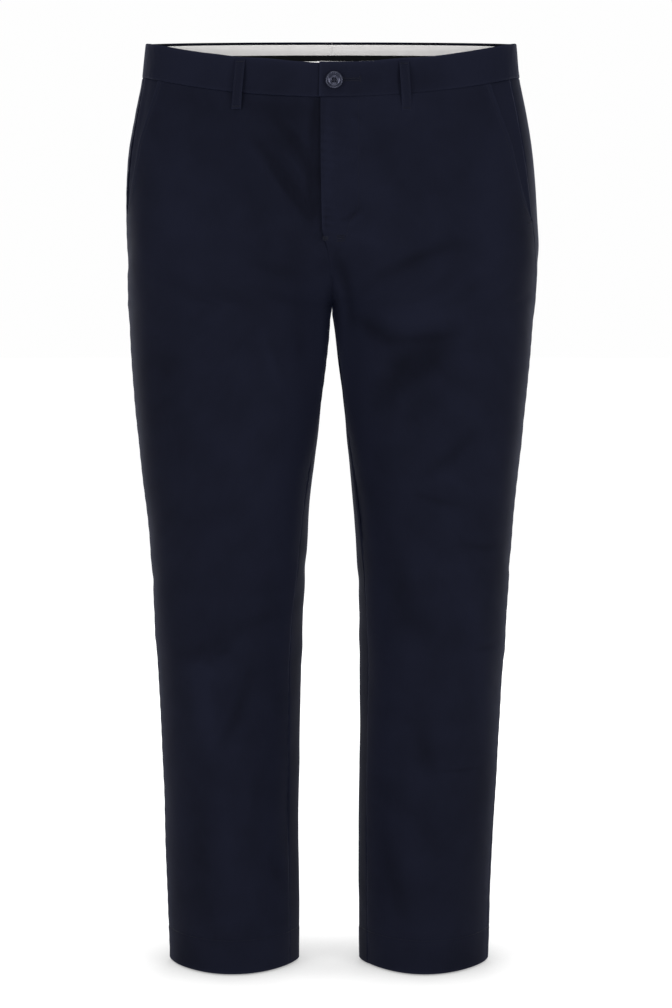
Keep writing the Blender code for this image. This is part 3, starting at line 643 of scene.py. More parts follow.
# Shade is painted along the inseams below the thighs.
INSEAM_PAINTED_SHADE, INSEAM_PAINTED_SHADE_REACH, INSEAM_PAINTED_SHADE_BELOW = 0.75, 10.0, (60, 170)
# Edges are rubbed pale, this much and this far in.
HEM_WORN, HEM_WORN_REACH = 0.4, 1.6
TOP_WORN, TOP_WORN_REACH = 0.08, 2.0
SEAM_WORN, MOUTH_WORN, FLY_WORN, EDGE_WORN_REACH = 0.1, 0.2, 0.22, 1.4
# How rows and columns crowd towards an edge, as distances from it.
EDGE_OFFSETS = np.array([0, 0.3, 0.7, 1.2, 2.0, 3.2, 4.8, 7.0])
ROW_STEP = 3.3
FLY_COLUMNS, FLY_COLUMN_STEP = 11, 2.7
PLAIN_COLUMNS = 54
BACK_COLUMNS = 74
HEM_FINER_REACH, HEM_FINER_STEP = 2.4, 0.8
# A seam draws the cloth in, this deep and from this far, and so does the hem's stitching, above
# which the hem's fold stands out.
TOP_DIP, TOP_DIP_REACH = 1.0, 2.4
START_DIP, INSEAM_DIP, END_DIP, DIP_REACH = 0.25, 0.35, 0.6, 2.0
HEM_STANDS_OUT, HEM_FOLD_FROM, HEM_FOLD_TO = 0.3, 1.2, 0.6
HEM_GROOVE, HEM_GROOVE_WIDE = 0.35, 1.3
# How far the folded mouth of a pocket goes on above the mouth's lower end.
MOUTH_ABOVE_END = 4.0
# How far the inside of an edge reaches behind its seam, past the centre line, and at the fly's foot.
SEAM_TUCK, SEAM_PAST, FOOT_PAST = 0.6, 0.1, 3.0
FOOT_FROM, FOOT_TO = FLY_BOTTOM - 4, FLY_FLUSH - 8
CENTRE_WIDE, CENTRE_BELOW_FORK = 4.0, 4.0
# Each panel has its own place in the length of twill, this far from the others.
FRONT_APART, LEFT_APART = 450, 1000
# A fold keeps at least this share of its thickness at its very edge.
LEAST_FOLD = 0.15


def crowded(start, end, step, offsets=EDGE_OFFSETS):
    """Places from start to end, close together at both ends and about step apart between."""
    way = 1 if end > start else -1
    between = max(int(round((abs(end - start) - 2 * offsets[-1]) / step)), 2)
    middle = np.linspace(start + way * offsets[-1], end - way * offsets[-1], between + 1)
    return np.concatenate([start + way * offsets[:-1], middle, (end - way * offsets[:-1])[::-1]])


def finer_about(places, centre, reach, step):
    """The places with those near the centre changed for ones a fine step apart."""
    kept = places[np.abs(places - centre) > reach + step]
    fine = np.arange(centre - reach, centre + reach + step / 2, step)
    way = 1 if places[-1] > places[0] else -1
    return np.sort(np.concatenate([kept, fine]))[::way]


def fold_round(distance, thick):
    """The share of its thickness that folded cloth has at this distance from the fold."""
    t = np.clip(1 - distance / (thick / 2), 0, 1)
    return np.maximum(np.sqrt(1 - t * t), LEAST_FOLD)


def sewn_dip(distance, depth, width):
    """How far cloth sinks towards the seam that it is sewn into."""
    t = np.clip(1 - distance / width, 0, 1)
    return -depth * t * t


def closed_mesh(name, points, faces):
    """A mesh in metres from points in mm and arrays of faces, turned to face out."""
    volume = 0.0
    for group in faces:
        for i in range(1, group.shape[1] - 1):
            a, b, c = points[group[:, 0]], points[group[:, i]], points[group[:, i + 1]]
            volume += (np.cross(a, b) * c).sum()
    turned = [group[:, ::-1] if volume < 0 else group for group in faces]
    data = bpy.data.meshes.new(name)
    data.from_pydata((points * MM).tolist(), [], [face for group in turned for face in group.tolist()])
    data.shade_smooth()
    return data


def new_object(name, data):
    """An object of this mesh, put in the scene."""
    piece = bpy.data.objects.new(name, data)
    bpy.context.scene.collection.objects.link(piece)
    return piece


def cloth_shell(name, outer, inner, grain, wear_and_painted_light, material, painted_light_and_fade=EVEN_FADE_LEVEL):
    """A closed piece of cloth between two grids of points.

    grain is where each point lies on the cloth, across and down. The grid after it is how much edge wear
    there is, with light painted on round the fork as well, and the last is the dye's level, with light
    painted on ridges, between the legs and on the pocket facings, and shade painted in troughs and along
    the inseams."""
    rows, columns = outer.shape[:2]
    index = np.arange(rows * columns).reshape(rows, columns)
    quads = np.stack([index[:-1, :-1], index[1:, :-1], index[1:, 1:], index[:-1, 1:]], axis=-1)
    quads = quads.reshape(-1, 4)
    rim = np.concatenate([index[0, :-1], index[:-1, -1], index[-1, :0:-1], index[:0:-1, 0]])
    ahead, under = np.roll(rim, -1), rows * columns
    sides = np.stack([rim, rim + under, ahead + under, ahead], axis=-1)[:, ::-1]
    points = np.concatenate([outer.reshape(-1, 3), inner.reshape(-1, 3)])
    data = closed_mesh(name, points, [quads, quads[:, ::-1] + under, sides])
    corners = np.empty(len(data.loops), int)
    data.loops.foreach_get("vertex_index", corners)
    placed = np.tile(grain.reshape(-1, 2) * MM, (2, 1))
    data.uv_layers.new(name="grain").uv.foreach_set("vector", placed[corners].astype(np.float32).ravel())
    for kind, values in (("wear_and_painted_light", wear_and_painted_light), ("painted_light_and_fade", np.broadcast_to(painted_light_and_fade, wear_and_painted_light.shape))):
        attribute = data.attributes.new(kind, "FLOAT", "POINT")
        # The inside of the cloth has no edge wear, and it takes the darkest dye, which paints shade on the
        # inside.
        both_faces = np.concatenate([values.ravel(), 0 * values.ravel()])
        attribute.data.foreach_set("value", both_faces.astype(np.float32))
    data.materials.append(material)
    return new_object(name, data)


def sheet_of_cloth(piece, node):
    """Hangs a piece of cloth on the root and hides the part of the model that it stands for."""
    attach(piece, "root")
    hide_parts(node)


def close_seams(side, inner, height, sewn_edges, fly_foot):
    """Behind a seam the allowances close it: the inside of each edge reaches past the seam's middle."""
    for edge, beside, sewn in sewn_edges:
        way = inner[:, edge] - inner[:, beside]
        way /= np.linalg.norm(way, axis=-1, keepdims=True)
        above_fork = height[:, edge] > FORK - CENTRE_BELOW_FORK
        at_centre = sewn[:, edge] & above_fork & (np.abs(inner[:, edge, 0]) < CENTRE_WIDE)
        tuck = np.where(fly_foot[:, edge], FOOT_PAST, SEAM_TUCK) * sewn[:, edge]
        inner[:, edge] += tuck[:, None] * way
        past = np.where(fly_foot[:, edge], FOOT_PAST, SEAM_PAST)
        inner[:, edge, 0] = np.where(at_centre, -side * past, inner[:, edge, 0])


def painted_light_and_shade_of_legs(side, arc, height, points, normals):
    """How much light is painted round the fork, and the dye's level with its painted light and shade, at
    these points of the form.
    """
    innermost = np.where(height < FORK, section["inner_" + SIDE_NAMES[side]](height), 0.0)
    from_innermost = side * points[..., 0] - innermost
    above = smoothstep(height, *(FORK + rise for rise in FORK_PAINTED_LIGHT_ABOVE))
    below = smoothstep(height, *(FORK - drop for drop in FORK_PAINTED_LIGHT_BELOW))
    # Painted light round the fork.
    wear_and_painted_light = FORK_PAINTED_LIGHT * above * below * np.exp(-((from_innermost / FORK_PAINTED_LIGHT_REACH) ** 2))
    # Painted light between the legs, where they shade each other.
    painted_between_legs = LEG_PAINTED_LIGHT * np.exp(-((from_innermost / LEG_PAINTED_LIGHT_REACH) ** 2))
    painted_between_legs *= smoothstep(height, *(FORK + rise for rise in LEG_PAINTED_LIGHT_ABOVE_FORK))
    painted_between_legs *= LEG_PAINTED_LIGHT_LOW + (1 - LEG_PAINTED_LIGHT_LOW) * smoothstep(height, *LEG_PAINTED_LIGHT_KNEES)
    # Painted shade along the inseams.
    kept = np.exp(-((from_innermost / INSEAM_PAINTED_SHADE_REACH) ** 2))
    kept *= smoothstep(height, *(FORK - drop for drop in INSEAM_PAINTED_SHADE_BELOW))
    # Painted light on the cloth's ridges and painted shade in its troughs, from the creases, the swells
    # and the seams.
    relief = crease_depth(points, normals) + SWELL_PAINTED_LIGHT * swell_depth(side, arc, height)
    relief += SEAM_PAINTED_LIGHT * seam_depth(side, arc, height)
    faded_and_painted_light = EVEN_FADE_LEVEL + painted_between_legs - INSEAM_PAINTED_SHADE * kept + relief / PAINTED_LIGHT_RELIEF
    return wear_and_painted_light, np.clip(faded_and_painted_light, 0, PAINTED_LIGHT_MOST)


def panel(name, side, start_of, end_of):
    """A front or a back, between two lines that give an arc at each height."""
    is_front = name.startswith("front")
    levels = crowded(SEAM_LEVEL, HEM, ROW_STEP)
    levels = finer_about(levels, HEM + HEM_DEPTH, HEM_FINER_REACH, HEM_FINER_STEP)
    starts = np.array([settle(side, level, start_of) for level in levels])[:, None]
    ends = np.array([settle(side, level, end_of) for level in levels])[:, None]
    around = girth(side, levels)[:, None]
    near = starts + EDGE_OFFSETS / around
    far = (ends - EDGE_OFFSETS / around)[:, ::-1]
    columns = BACK_COLUMNS
    if is_front:
        columns = PLAIN_COLUMNS
        close = near[:, -1:] + np.arange(1, FLY_COLUMNS + 1) * FLY_COLUMN_STEP / around
        near = np.concatenate([near, close], axis=1)
    between = np.linspace(0, 1, columns + 1)[1:-1]
    share = np.concatenate([near, near[:, -1:] + (far[:, :1] - near[:, -1:]) * between, far], axis=1)
    level = np.broadcast_to(levels[:, None], share.shape)
    height = height_at(side, share, level)
    arc = share * girth(side, height)
    from_start, from_end = (share - starts) * around, (ends - share) * around
    from_top, from_hem = SEAM_LEVEL - level, level - HEM

    # A fold is round, and a seam draws both its sides in.
    hem_fold = smoothstep(from_hem, HEM_DEPTH + HEM_FOLD_FROM, HEM_DEPTH - HEM_FOLD_TO)
    thick = CLOTH_THICK + (HEM_THICK - CLOTH_THICK) * hem_fold
    depth = cloth_depth(side, arc, height) + sewn_dip(from_top, TOP_DIP, TOP_DIP_REACH)
    groove = np.exp(-(((from_hem - HEM_DEPTH) / HEM_GROOVE_WIDE) ** 2))
    depth += HEM_STANDS_OUT * hem_fold - HEM_GROOVE * groove
    on_fly = is_front & (side == LEFT) & (height > FLY_FLUSH)
    tucked = is_front & (side == RIGHT) & (height > FLY_CLOSED)
    at_mouth = is_front & (level > POCKET_END + MOUTH_ABOVE_END)
    start_dip = np.where(height > FORK, START_DIP, INSEAM_DIP)
    depth += np.where(on_fly | tucked, 0.0, sewn_dip(from_start, start_dip, DIP_REACH))
    depth += np.where(at_mouth, 0.0, sewn_dip(from_end, END_DIP, DIP_REACH))
    full = fold_round(from_hem, HEM_THICK)
    full = full * np.where(on_fly, fold_round(from_start, CLOTH_THICK), 1.0)
    full = full * np.where(at_mouth, fold_round(from_end, CLOTH_THICK), 1.0)
    points, normals = skin(side, arc, height), outward(side, arc, height)
    outer = points + normals * (depth - thick / 2 * (1 - full))[..., None]
    inner = points + normals * (depth - thick / 2 * (1 + full))[..., None]
    for grid in (outer, inner):
        crossed = (height < FLY_FLUSH) & (arc >= 0) & (side * grid[..., 0] < SEAM_GAP / 2)
        grid[..., 0] = np.where(crossed, side * SEAM_GAP / 2, grid[..., 0])
    fly_foot = is_front & (side == RIGHT) & (height < FOOT_FROM) & (height > FOOT_TO)
    sewn_edges = ((0, 1, fly_foot | ~(on_fly | tucked)), (-1, -2, ~at_mouth))
    close_seams(side, inner, height, sewn_edges, fly_foot)
    start_worn = np.where(on_fly, FLY_WORN * smoothstep(height, FLY_CLOSED, FLY_BOTTOM), SEAM_WORN)
    wear_and_painted_light = HEM_WORN * np.exp(-from_hem / HEM_WORN_REACH) + TOP_WORN * np.exp(-from_top / TOP_WORN_REACH)
    wear_and_painted_light += start_worn * np.exp(-from_start / EDGE_WORN_REACH)
    wear_and_painted_light += np.where(at_mouth, MOUTH_WORN, SEAM_WORN) * np.exp(-from_end / EDGE_WORN_REACH)
    # Light painted round the fork and between the legs, and shade painted in troughs and along the
    # inseams.
    fork_painted_light, painted_light_and_fade = painted_light_and_shade_of_legs(side, arc, height, points, normals)
    grain = np.stack([from_start + FRONT_APART * is_front + LEFT_APART * (side == LEFT), height], axis=-1)
    return cloth_shell(name + "_cloth", outer, inner, grain, wear_and_painted_light + fork_painted_light, navy_twill, painted_light_and_fade)


# The lines that each panel lies between, from its start to its end.
PANEL_LINES = {"front": (front_edge, front_side_edge), "back": (back_side_edge, back_edge)}
for kind, (start_of, end_of) in PANEL_LINES.items():
    for side in (LEFT, RIGHT):
        name = kind + "_" + SIDE_NAMES[side]
        cloth = panel(name, side, start_of, end_of)
        sheet_of_cloth(cloth, name)

# ---- The seams' stitching ----
# Navy core-spun polyester thread, lockstitched at 8 stitches to the inch: the fly's curve, both
# pocket mouths and the hems. Bar tacks hold the fly's foot and the ends of the pocket mouths.
STITCH_PITCH, STITCH_LONG, THREAD_RADIUS, THREAD_SUNK = 3.2, 2.5, 0.26, 0.4
LINE_FINENESS = 60
THREAD_SIDES = 6
# Where along a stitch its sections lie, how full each is, and how far it sinks into the cloth.
THREAD_PLACES = np.array([0.0, 0.14, 0.5, 0.86, 1.0])
THREAD_FULLNESS = np.array([0.35, 0.9, 1.0, 0.9, 0.35])
THREAD_SINK = np.array([1.0, 0.3, 0.0, 0.3, 1.0])
TACK_PITCH = 0.62


def thread_mesh(name, starts, ends, ups, radius):
    """Separate short threads in one mesh, each from start to end with its ends sunk in the cloth."""
    run = ends - starts
    run_length = np.linalg.norm(run, axis=1, keepdims=True)
    forward = run / run_length
    aside = np.cross(forward, ups)
    aside /= np.linalg.norm(aside, axis=1, keepdims=True)
    up = np.cross(aside, forward)
    turn = np.linspace(0, 2 * math.pi, THREAD_SIDES, endpoint=False)
    round_ = aside[:, None] * np.cos(turn)[:, None] + up[:, None] * np.sin(turn)[:, None]
    middle = starts[:, None] + run[:, None] * THREAD_PLACES[:, None]
    middle = middle - up[:, None] * (THREAD_SINK * THREAD_SUNK)[:, None]
    points = middle[:, :, None] + round_[:, None] * (THREAD_FULLNESS * radius)[:, None, None]
    count, stations = len(starts), len(THREAD_PLACES)
    index = np.arange(count * stations * THREAD_SIDES).reshape(count, stations, THREAD_SIDES)
    beside = np.roll(index, -1, axis=2)
    walls = np.stack([index[:, :-1], beside[:, :-1], beside[:, 1:], index[:, 1:]], axis=-1)
    caps = np.concatenate([index[:, 0, ::-1], index[:, -1]])
    return closed_mesh(name, points.reshape(-1, 3), [walls.reshape(-1, 4), caps])


def along_line(side, arcs, heights, lift):
    """Starts, ends and ups of a row of stitches along a line on the cloth."""
    fine = np.linspace(0, len(arcs) - 1, LINE_FINENESS * len(arcs))
    arc = np.interp(fine, np.arange(len(arcs)), arcs)
    height = np.interp(fine, np.arange(len(arcs)), heights)
    points = place(side, arc, height, cloth_depth(side, arc, height) + lift)
    far = np.concatenate([[0], np.cumsum(np.linalg.norm(np.diff(points, axis=0), axis=1))])
    starts = np.arange(0, far[-1] - STITCH_LONG, STITCH_PITCH)
    ends = []
    for run in (starts, starts + STITCH_LONG):
        ends.append(np.stack([np.interp(run, far, points[:, i]) for i in range(3)], axis=1))
    ups = outward(side, np.interp(starts, far, arc), np.interp(starts, far, height))
    return (*ends, ups)


def bar_tack(side, lift, arc, height, slant, long, wide):
    """Starts, ends and ups of the close threads across a bar tack, slant being its angle from level."""
    along = np.arange(-long / 2, long / 2, TACK_PITCH)
    cos, sin = math.cos(slant), math.sin(slant)
    ends = []
    for across in (-wide / 2, wide / 2):
        arcs, heights = arc + along * cos - across * sin, height + along * sin + across * cos
        ends.append(place(side, arcs, heights, cloth_depth(side, arcs, heights) + lift))
    return (*ends, outward(side, arc + along * cos, height + along * sin))


def sew(name, rows, material, radius=THREAD_RADIUS):
    """Makes one piece of several rows of threads."""
    starts, ends, ups = (np.concatenate(parts) for parts in zip(*rows))
    data = thread_mesh(name, starts, ends, ups, radius)
    data.materials.append(material)
    piece = new_object(name, data)
    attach(piece, "root")


# Spun polyester thread has a low silky gloss, and its plies show as a fine diagonal twist.
THREAD_TWIST, TWIST_HEIGHT, TWIST_SLANT = 0.7, 0.1, (0.5, 0.6, 0.7)


def polyester_thread(name, colour):
    """The material of one colour of sewing thread."""
    made, tree = new_material(name)
    place_on = add(tree, "TexCoord", {}, {})["Object"]
    turned = add(tree, "Mapping", {}, {"Vector": place_on, "Rotation": TWIST_SLANT})["Vector"]
    ply_look = {"Vector": turned, "Scale": wave_scale(THREAD_TWIST), "Distortion": 0.5}
    plies = add(tree, "TexWave", {}, ply_look)["Fac"]
    twist_look = {"Height": plies, "Strength": 0.4, "Distance": TWIST_HEIGHT * MM}
    twist = add(tree, "Bump", {}, twist_look)["Normal"]
    thread = add(
        tree, "BsdfPrincipled", {},
        {
            "Base Color": linear(colour),
            "Roughness": 0.6,
            "Specular IOR Level": 0.12,
            "Sheen Weight": 0.02,
            "Sheen Tint": linear("#A9B2D6"),
            "Normal": twist,
        },
    )
    add(tree, "OutputMaterial", {}, {"Surface": thread["BSDF"]})
    return made


navy_thread = polyester_thread("navy_polyester_thread", "#0B0D18")

# The fly's curve, as (arc, height) from the waist seam to its foot.
FLY_CURVE = (
    (29.3, -52),
    (29.3, -100),
    (29.3, -150),
    (29.1, -168),
    (27.6, -176),
    (23.9, -181.5),
    (20.0, -187),
    (17.7, -193),
    (16.6, -199),
    (16.3, -204),
)
# The bar tacks at its foot, as (arc, height, slant, length, width), and how high the threads lie.
FLY_TACKS = (
    (9.6, -203.0, 0.0, 8.8, 1.5),
    (9.6, -205.7, 0.0, 8.8, 1.5),
    (9.6, -208.4, 0.0, 8.8, 1.5),
    (-7.4, -205.6, 0.0, 5.6, 5.8),
)
FLY_STITCH_LIFT, FLY_TACK_LIFT = 0.08, 0.2
fly_arcs, fly_heights = zip(*FLY_CURVE)
fly_rows = [bar_tack(LEFT, FLY_TACK_LIFT, *tack) for tack in FLY_TACKS]
sew("fly_stitching", [along_line(LEFT, fly_arcs, fly_heights, FLY_STITCH_LIFT), *fly_rows], navy_thread)

# The pocket mouths are stitched this far in, between these distances from their ends, with a bar
# tack across the lower end, as (in from the seam, below the end, slant, length, width).
MOUTH_STITCH_IN, MOUTH_STITCH_BELOW, MOUTH_STITCH_ABOVE, MOUTH_STITCH_STEPS = 6.5, 3, 6, 14
MOUTH_TACK_IN, MOUTH_TACK_BELOW, MOUTH_TACK = 5.5, 2, (0.12, 9.0, 1.9)
MOUTH_STITCH_LIFT, MOUTH_TACK_LIFT = 0.06, 0.12
HEM_STITCH_LIFT, HEM_STITCH_STEPS = 0.05, 60
for side in (LEFT, RIGHT):
    stitched_from, stitched_to = SEAM_LEVEL - MOUTH_STITCH_BELOW, POCKET_END + MOUTH_STITCH_ABOVE
    mouth_levels = np.linspace(stitched_from, stitched_to, MOUTH_STITCH_STEPS)
    shares = np.array([settle(side, level, front_side_edge) for level in mouth_levels])
    heights = height_at(side, shares, mouth_levels)
    arcs = shares * girth(side, heights) - MOUTH_STITCH_IN
    tack_arc = float(side_seam(side, POCKET_END)) - MOUTH_TACK_IN
    mouth_tack = bar_tack(side, MOUTH_TACK_LIFT, tack_arc, POCKET_END - MOUTH_TACK_BELOW, *MOUTH_TACK)
    mouth_row = along_line(side, arcs, heights, MOUTH_STITCH_LIFT)
    sew("pocket_stitching_" + SIDE_NAMES[side], [mouth_row, mouth_tack], navy_thread)
    hem_height = HEM + HEM_DEPTH
    hem_arcs = np.linspace(0, 1, HEM_STITCH_STEPS) * girth(side, hem_height) + inseam_lead[side](HEM)
    hem_row = along_line(side, hem_arcs, np.full(HEM_STITCH_STEPS, hem_height), HEM_STITCH_LIFT)
    sew("hem_stitching_" + SIDE_NAMES[side], [hem_row], navy_thread)

# ---- The fly's underlap ----
# A shield of the same twill behind the fly, sewn to the right front's edge, which keeps the closing
# off the skin.
UNDERLAP_OUT, UNDERLAP_THICK = -4.4, 1.0
UNDERLAP_FROM, UNDERLAP_TO, UNDERLAP_COLUMN_STEP = -25.0, 16.0, 4.0
UNDERLAP_TOP, UNDERLAP_FOOT, UNDERLAP_ROW_STEP = SEAM_LEVEL + 7, FLY_BOTTOM - 12, 5.0
UNDERLAP_CUT_AT = 2200
levels = crowded(UNDERLAP_TOP, UNDERLAP_FOOT, UNDERLAP_ROW_STEP)[:, None]
arcs = crowded(UNDERLAP_FROM, UNDERLAP_TO, UNDERLAP_COLUMN_STEP)[None, :]
heights = height_at(RIGHT, arcs / girth(RIGHT, 0), levels)
arcs = np.broadcast_to(arcs, heights.shape)
round_share = fold_round(np.minimum(arcs - UNDERLAP_FROM, UNDERLAP_TO - arcs), UNDERLAP_THICK)
middle = UNDERLAP_OUT - UNDERLAP_THICK / 2
underlap = cloth_shell(
    "fly_underlap_cloth",
    place(RIGHT, arcs, heights, middle + round_share * UNDERLAP_THICK / 2),
    place(RIGHT, arcs, heights, middle - round_share * UNDERLAP_THICK / 2),
    np.stack([arcs + UNDERLAP_CUT_AT, heights], axis=-1),
    np.zeros(arcs.shape),
    navy_twill,
)
sheet_of_cloth(underlap, "fly_underlap")

# ---- The pocket facings ----
# A strip of the twill shows in each slanted pocket mouth. It is sewn into the side seam and the
# waist seam, and it goes down behind the front's folded mouth.
FACE_OUT, FACE_THICK = -1.9, 1.0
FACE_COLUMNS, FACE_ROW_STEP, FACE_BELOW_MOUTH = 25, 3.5, 10
# How far it reaches in under the front, and how it comes out to the side seam: over this distance at
# most and at least, starting this far or this share of the mouth's width from the mouth's edge.
FACE_UNDER, FACE_RISES, FACE_RISES_LEAST, FACE_MARGIN, FACE_SHARE = 22.0, 15.0, 0.5, 7.0, 0.75
FACE_DIP, FACE_TOP_DIP = 0.5, 0.6
FACE_WAVE, FACE_WAVE_LONG, FACE_WAVE_FROM_SEAM = 0.25, 9.0, (2, 12)
FACE_PAINTED_LIGHT = 0.95  # painted light, evenly paler where the facing lies sunk in shade
FACE_CUT_AT, FACES_APART = 2600, 300


def pocket_face_start(side, height):
    """Where a pocket facing starts, in under the front."""
    return front_side_edge(side, height) - FACE_UNDER


def pocket_face_end(side, height):
    """Where a pocket facing ends: the side seam."""
    return side_seam(side, height) - SEAM_GAP / 2


def pocket_face(name, side):
    """The strip between the side seam and a line under the front's mouth."""
    levels = crowded(SEAM_LEVEL, POCKET_END - FACE_BELOW_MOUTH, FACE_ROW_STEP)
    last = np.array([settle(side, level, pocket_face_end) for level in levels])[:, None]
    first = np.array([settle(side, level, pocket_face_start) for level in levels])[:, None]
    share = first + (last - first) * np.linspace(0, 1, FACE_COLUMNS)
    level = np.broadcast_to(levels[:, None], share.shape)
    height = height_at(side, share, level)
    around = girth(side, height)
    arc, seam = share * around, last * around
    mouth = pocket_mouth(height)
    ramp = np.clip(np.maximum(mouth - FACE_MARGIN, FACE_SHARE * mouth), FACE_RISES_LEAST, FACE_RISES)
    rise = np.where(mouth > 1, smoothstep(arc, seam - ramp, seam), 0.0)
    depth = FACE_OUT * (1 - rise) + sewn_dip(seam - arc, FACE_DIP, DIP_REACH)
    depth = depth + sewn_dip(SEAM_LEVEL - level, FACE_TOP_DIP, DIP_REACH)
    wave = FACE_WAVE * np.sin(level / FACE_WAVE_LONG + side)
    depth += wave * smoothstep(seam - arc, *FACE_WAVE_FROM_SEAM)
    grain = np.stack([arc + FACE_CUT_AT + FACES_APART * side, height], axis=-1)
    outer, inner = place(side, arc, height, depth), place(side, arc, height, depth - FACE_THICK)
    return cloth_shell(name + "_cloth", outer, inner, grain, np.zeros(arc.shape), navy_twill, FACE_PAINTED_LIGHT)


for side in (LEFT, RIGHT):
    name = "pocket_facing_" + SIDE_NAMES[side]
    sheet_of_cloth(pocket_face(name, side), name)

# ---- The waistband ----
# A band of the twill folded at its top over stiffening, in two halves joined at the centre back. The
# left end is finished and laps over the right one, with a buttonhole worked through it.
BAND_OUT, BAND_THICK = 0.6, 2.1
BAND_LAP, BAND_UNDER = 14.0, 28.0
BAND_ROW_STEP, BAND_COLUMN_STEP = 1.7, 2.3
BAND_CUT_AT, BANDS_APART = 3200, 60
# The buttonhole, which the mesh is finer about, with a bar across its outer end.
HOLE_FROM, HOLE_TO, HOLE_DROP = 8.0, 29.0, 20.4
HOLE_SINK, HOLE_HALF, HOLE_END = 0.6, 0.45, 1.0
HOLE_FINER_PAST, HOLE_FINER_STEP, HOLE_FINER_DROP, HOLE_FINER_DROP_STEP = 2, 0.9, 1.6, 0.4
PUSH_FINER_STEP = 1.0
PURL_LONG, PURL_PITCH, PURL_RADIUS = 1.7, 0.6, 0.24
PURL_START, PURL_OFF, PURL_NEAR_LIFT, PURL_FAR_LIFT = 3, 0.35, 0.25, 0.12
HOLE_BAR_UP, HOLE_BAR_DOWN, HOLE_BAR_FROM, HOLE_BAR_TO, HOLE_BAR_LIFT = 3.4, 3.5, 0.2, 2.4, 0.2
# The band's slow swells, as (height, length, turn), its slant with the drop and its wave down it.
BAND_SWELLS = ((0.22, 61.0, 0.4), (0.14, 27.0, 2.1), (0.06, 11.0, 4.0))
BAND_SWELL_SLANT, BAND_SWELL_DOWN = 0.4, 13
# The waist seam puckers its lower edge.
BAND_SEAM_PUCKER, BAND_SEAM_REACH, BAND_SEAM_LONG = 0.16, 7.0, 8.5
BAND_SEAM_STRAY, BAND_SEAM_STRAY_LONG = 1.5, 23
# Belts and hands rub the band pale at its top and at the hips, and its edges are worn.
BAND_TOP_FADE, BAND_TOP_REACH, BAND_SIDE_FADE, BAND_SIDE_ARCS = 0.25, 8.0, 0.32, (90, 170)
STRIP_TOP_WORN, STRIP_START_WORN, STRIP_FOOT_WORN, STRIP_WORN_REACH = 0.35, 0.3, 0.1, 1.5
STRIP_FOOT_DIP, STRIP_END_DIP = 0.8, 0.6
# The band's top edge sags (+) between the loops and is drawn up by them (-), as (arc, drop).
BAND_EDGE = {
    LEFT: ((-14, 0.1), (46, 0.1), (64, -0.9), (86, -0.9), (100, 0.0), (130, 0.2), (150, 0.0)),
    RIGHT: (
        (14, 1.1),
        (22, 0.95),
        (30, 0.6),
        (46, 0.1),
        (66, -1.1),
        (84, -0.9),
        (100, 0.0),
        (130, -0.5),
        (150, 0.0),
    ),
}


def band_depth(side, arc, drop):
    """How far the outside of the band lies off the form."""
    depth = BAND_OUT + push_in(side, arc, BAND_TOP)
    for high, wave, turn in BAND_SWELLS:
        swell = high * np.sin(2 * math.pi * (arc + drop * BAND_SWELL_SLANT) / wave + turn + side)
        depth = depth + swell * np.sin(drop / BAND_SWELL_DOWN + turn)
    stray = BAND_SEAM_STRAY * np.sin(arc / BAND_SEAM_STRAY_LONG)
    pucker = np.sin(2 * math.pi * arc / BAND_SEAM_LONG + stray)
    depth = depth + BAND_SEAM_PUCKER * pucker * np.exp(-(BAND_HEIGHT - drop) / BAND_SEAM_REACH)
    if side == LEFT:
        slit = HOLE_SINK * np.exp(-(((drop - HOLE_DROP) / HOLE_HALF) ** 2))
        slit = slit * smoothstep(arc, HOLE_FROM - HOLE_END, HOLE_FROM)
        depth = depth - slit * smoothstep(arc, HOLE_TO + HOLE_END, HOLE_TO)
    return depth


def band_edge(side, arc):
    """How far the band's top edge lies below its level there."""
    return np.interp(arc, *zip(*BAND_EDGE[side]))


def waist_strip(name, side, arcs, drops, depth_of, thick, material, grain_from, top_of=None):
    """A strip of the waist, through these arcs at the waist line and drops below the band's top."""
    arcs, drops = np.meshgrid(arcs, drops)
    from_top, from_bottom = drops - drops[0], drops[-1] - drops
    from_start, from_end = arcs - arcs[:, :1], arcs[:, -1:] - arcs
    if top_of:
        drops = drops + (top_of(side, arcs) - drops[0]) * (1 - from_top / from_top[-1])
    share = arcs / girth(side, 0)
    height = height_at(side, share, BAND_TOP - drops)
    full = fold_round(np.minimum(from_top, from_start), thick)
    depth = depth_of(side, arcs, drops) + sewn_dip(from_bottom, STRIP_FOOT_DIP, DIP_REACH)
    depth = depth + sewn_dip(from_end, STRIP_END_DIP, DIP_REACH)
    around = share * girth(side, height)
    grids = [place(side, around, height, depth - thick / 2 * (1 - way * full)) for way in (1, -1)]
    wear_and_painted_light = STRIP_TOP_WORN * np.exp(-from_top / STRIP_WORN_REACH)
    wear_and_painted_light += STRIP_START_WORN * np.exp(-from_start / STRIP_WORN_REACH)
    wear_and_painted_light += STRIP_FOOT_WORN * np.exp(-from_bottom / STRIP_WORN_REACH)
    painted_light_and_fade = EVEN_FADE_LEVEL + BAND_TOP_FADE * np.exp(-from_top / BAND_TOP_REACH)
    painted_light_and_fade = painted_light_and_fade + BAND_SIDE_FADE * smoothstep(arcs, *BAND_SIDE_ARCS)
    grain = np.stack([drops + grain_from, arcs], axis=-1)
    return cloth_shell(name + "_cloth", *grids, grain, wear_and_painted_light, material, painted_light_and_fade)


def finer_between(places, start, end, past, step):
    """The places with those between start and end, and past them, changed for ones a fine step apart."""
    return finer_about(places, (start + end) / 2, (end - start) / 2 + past, step)


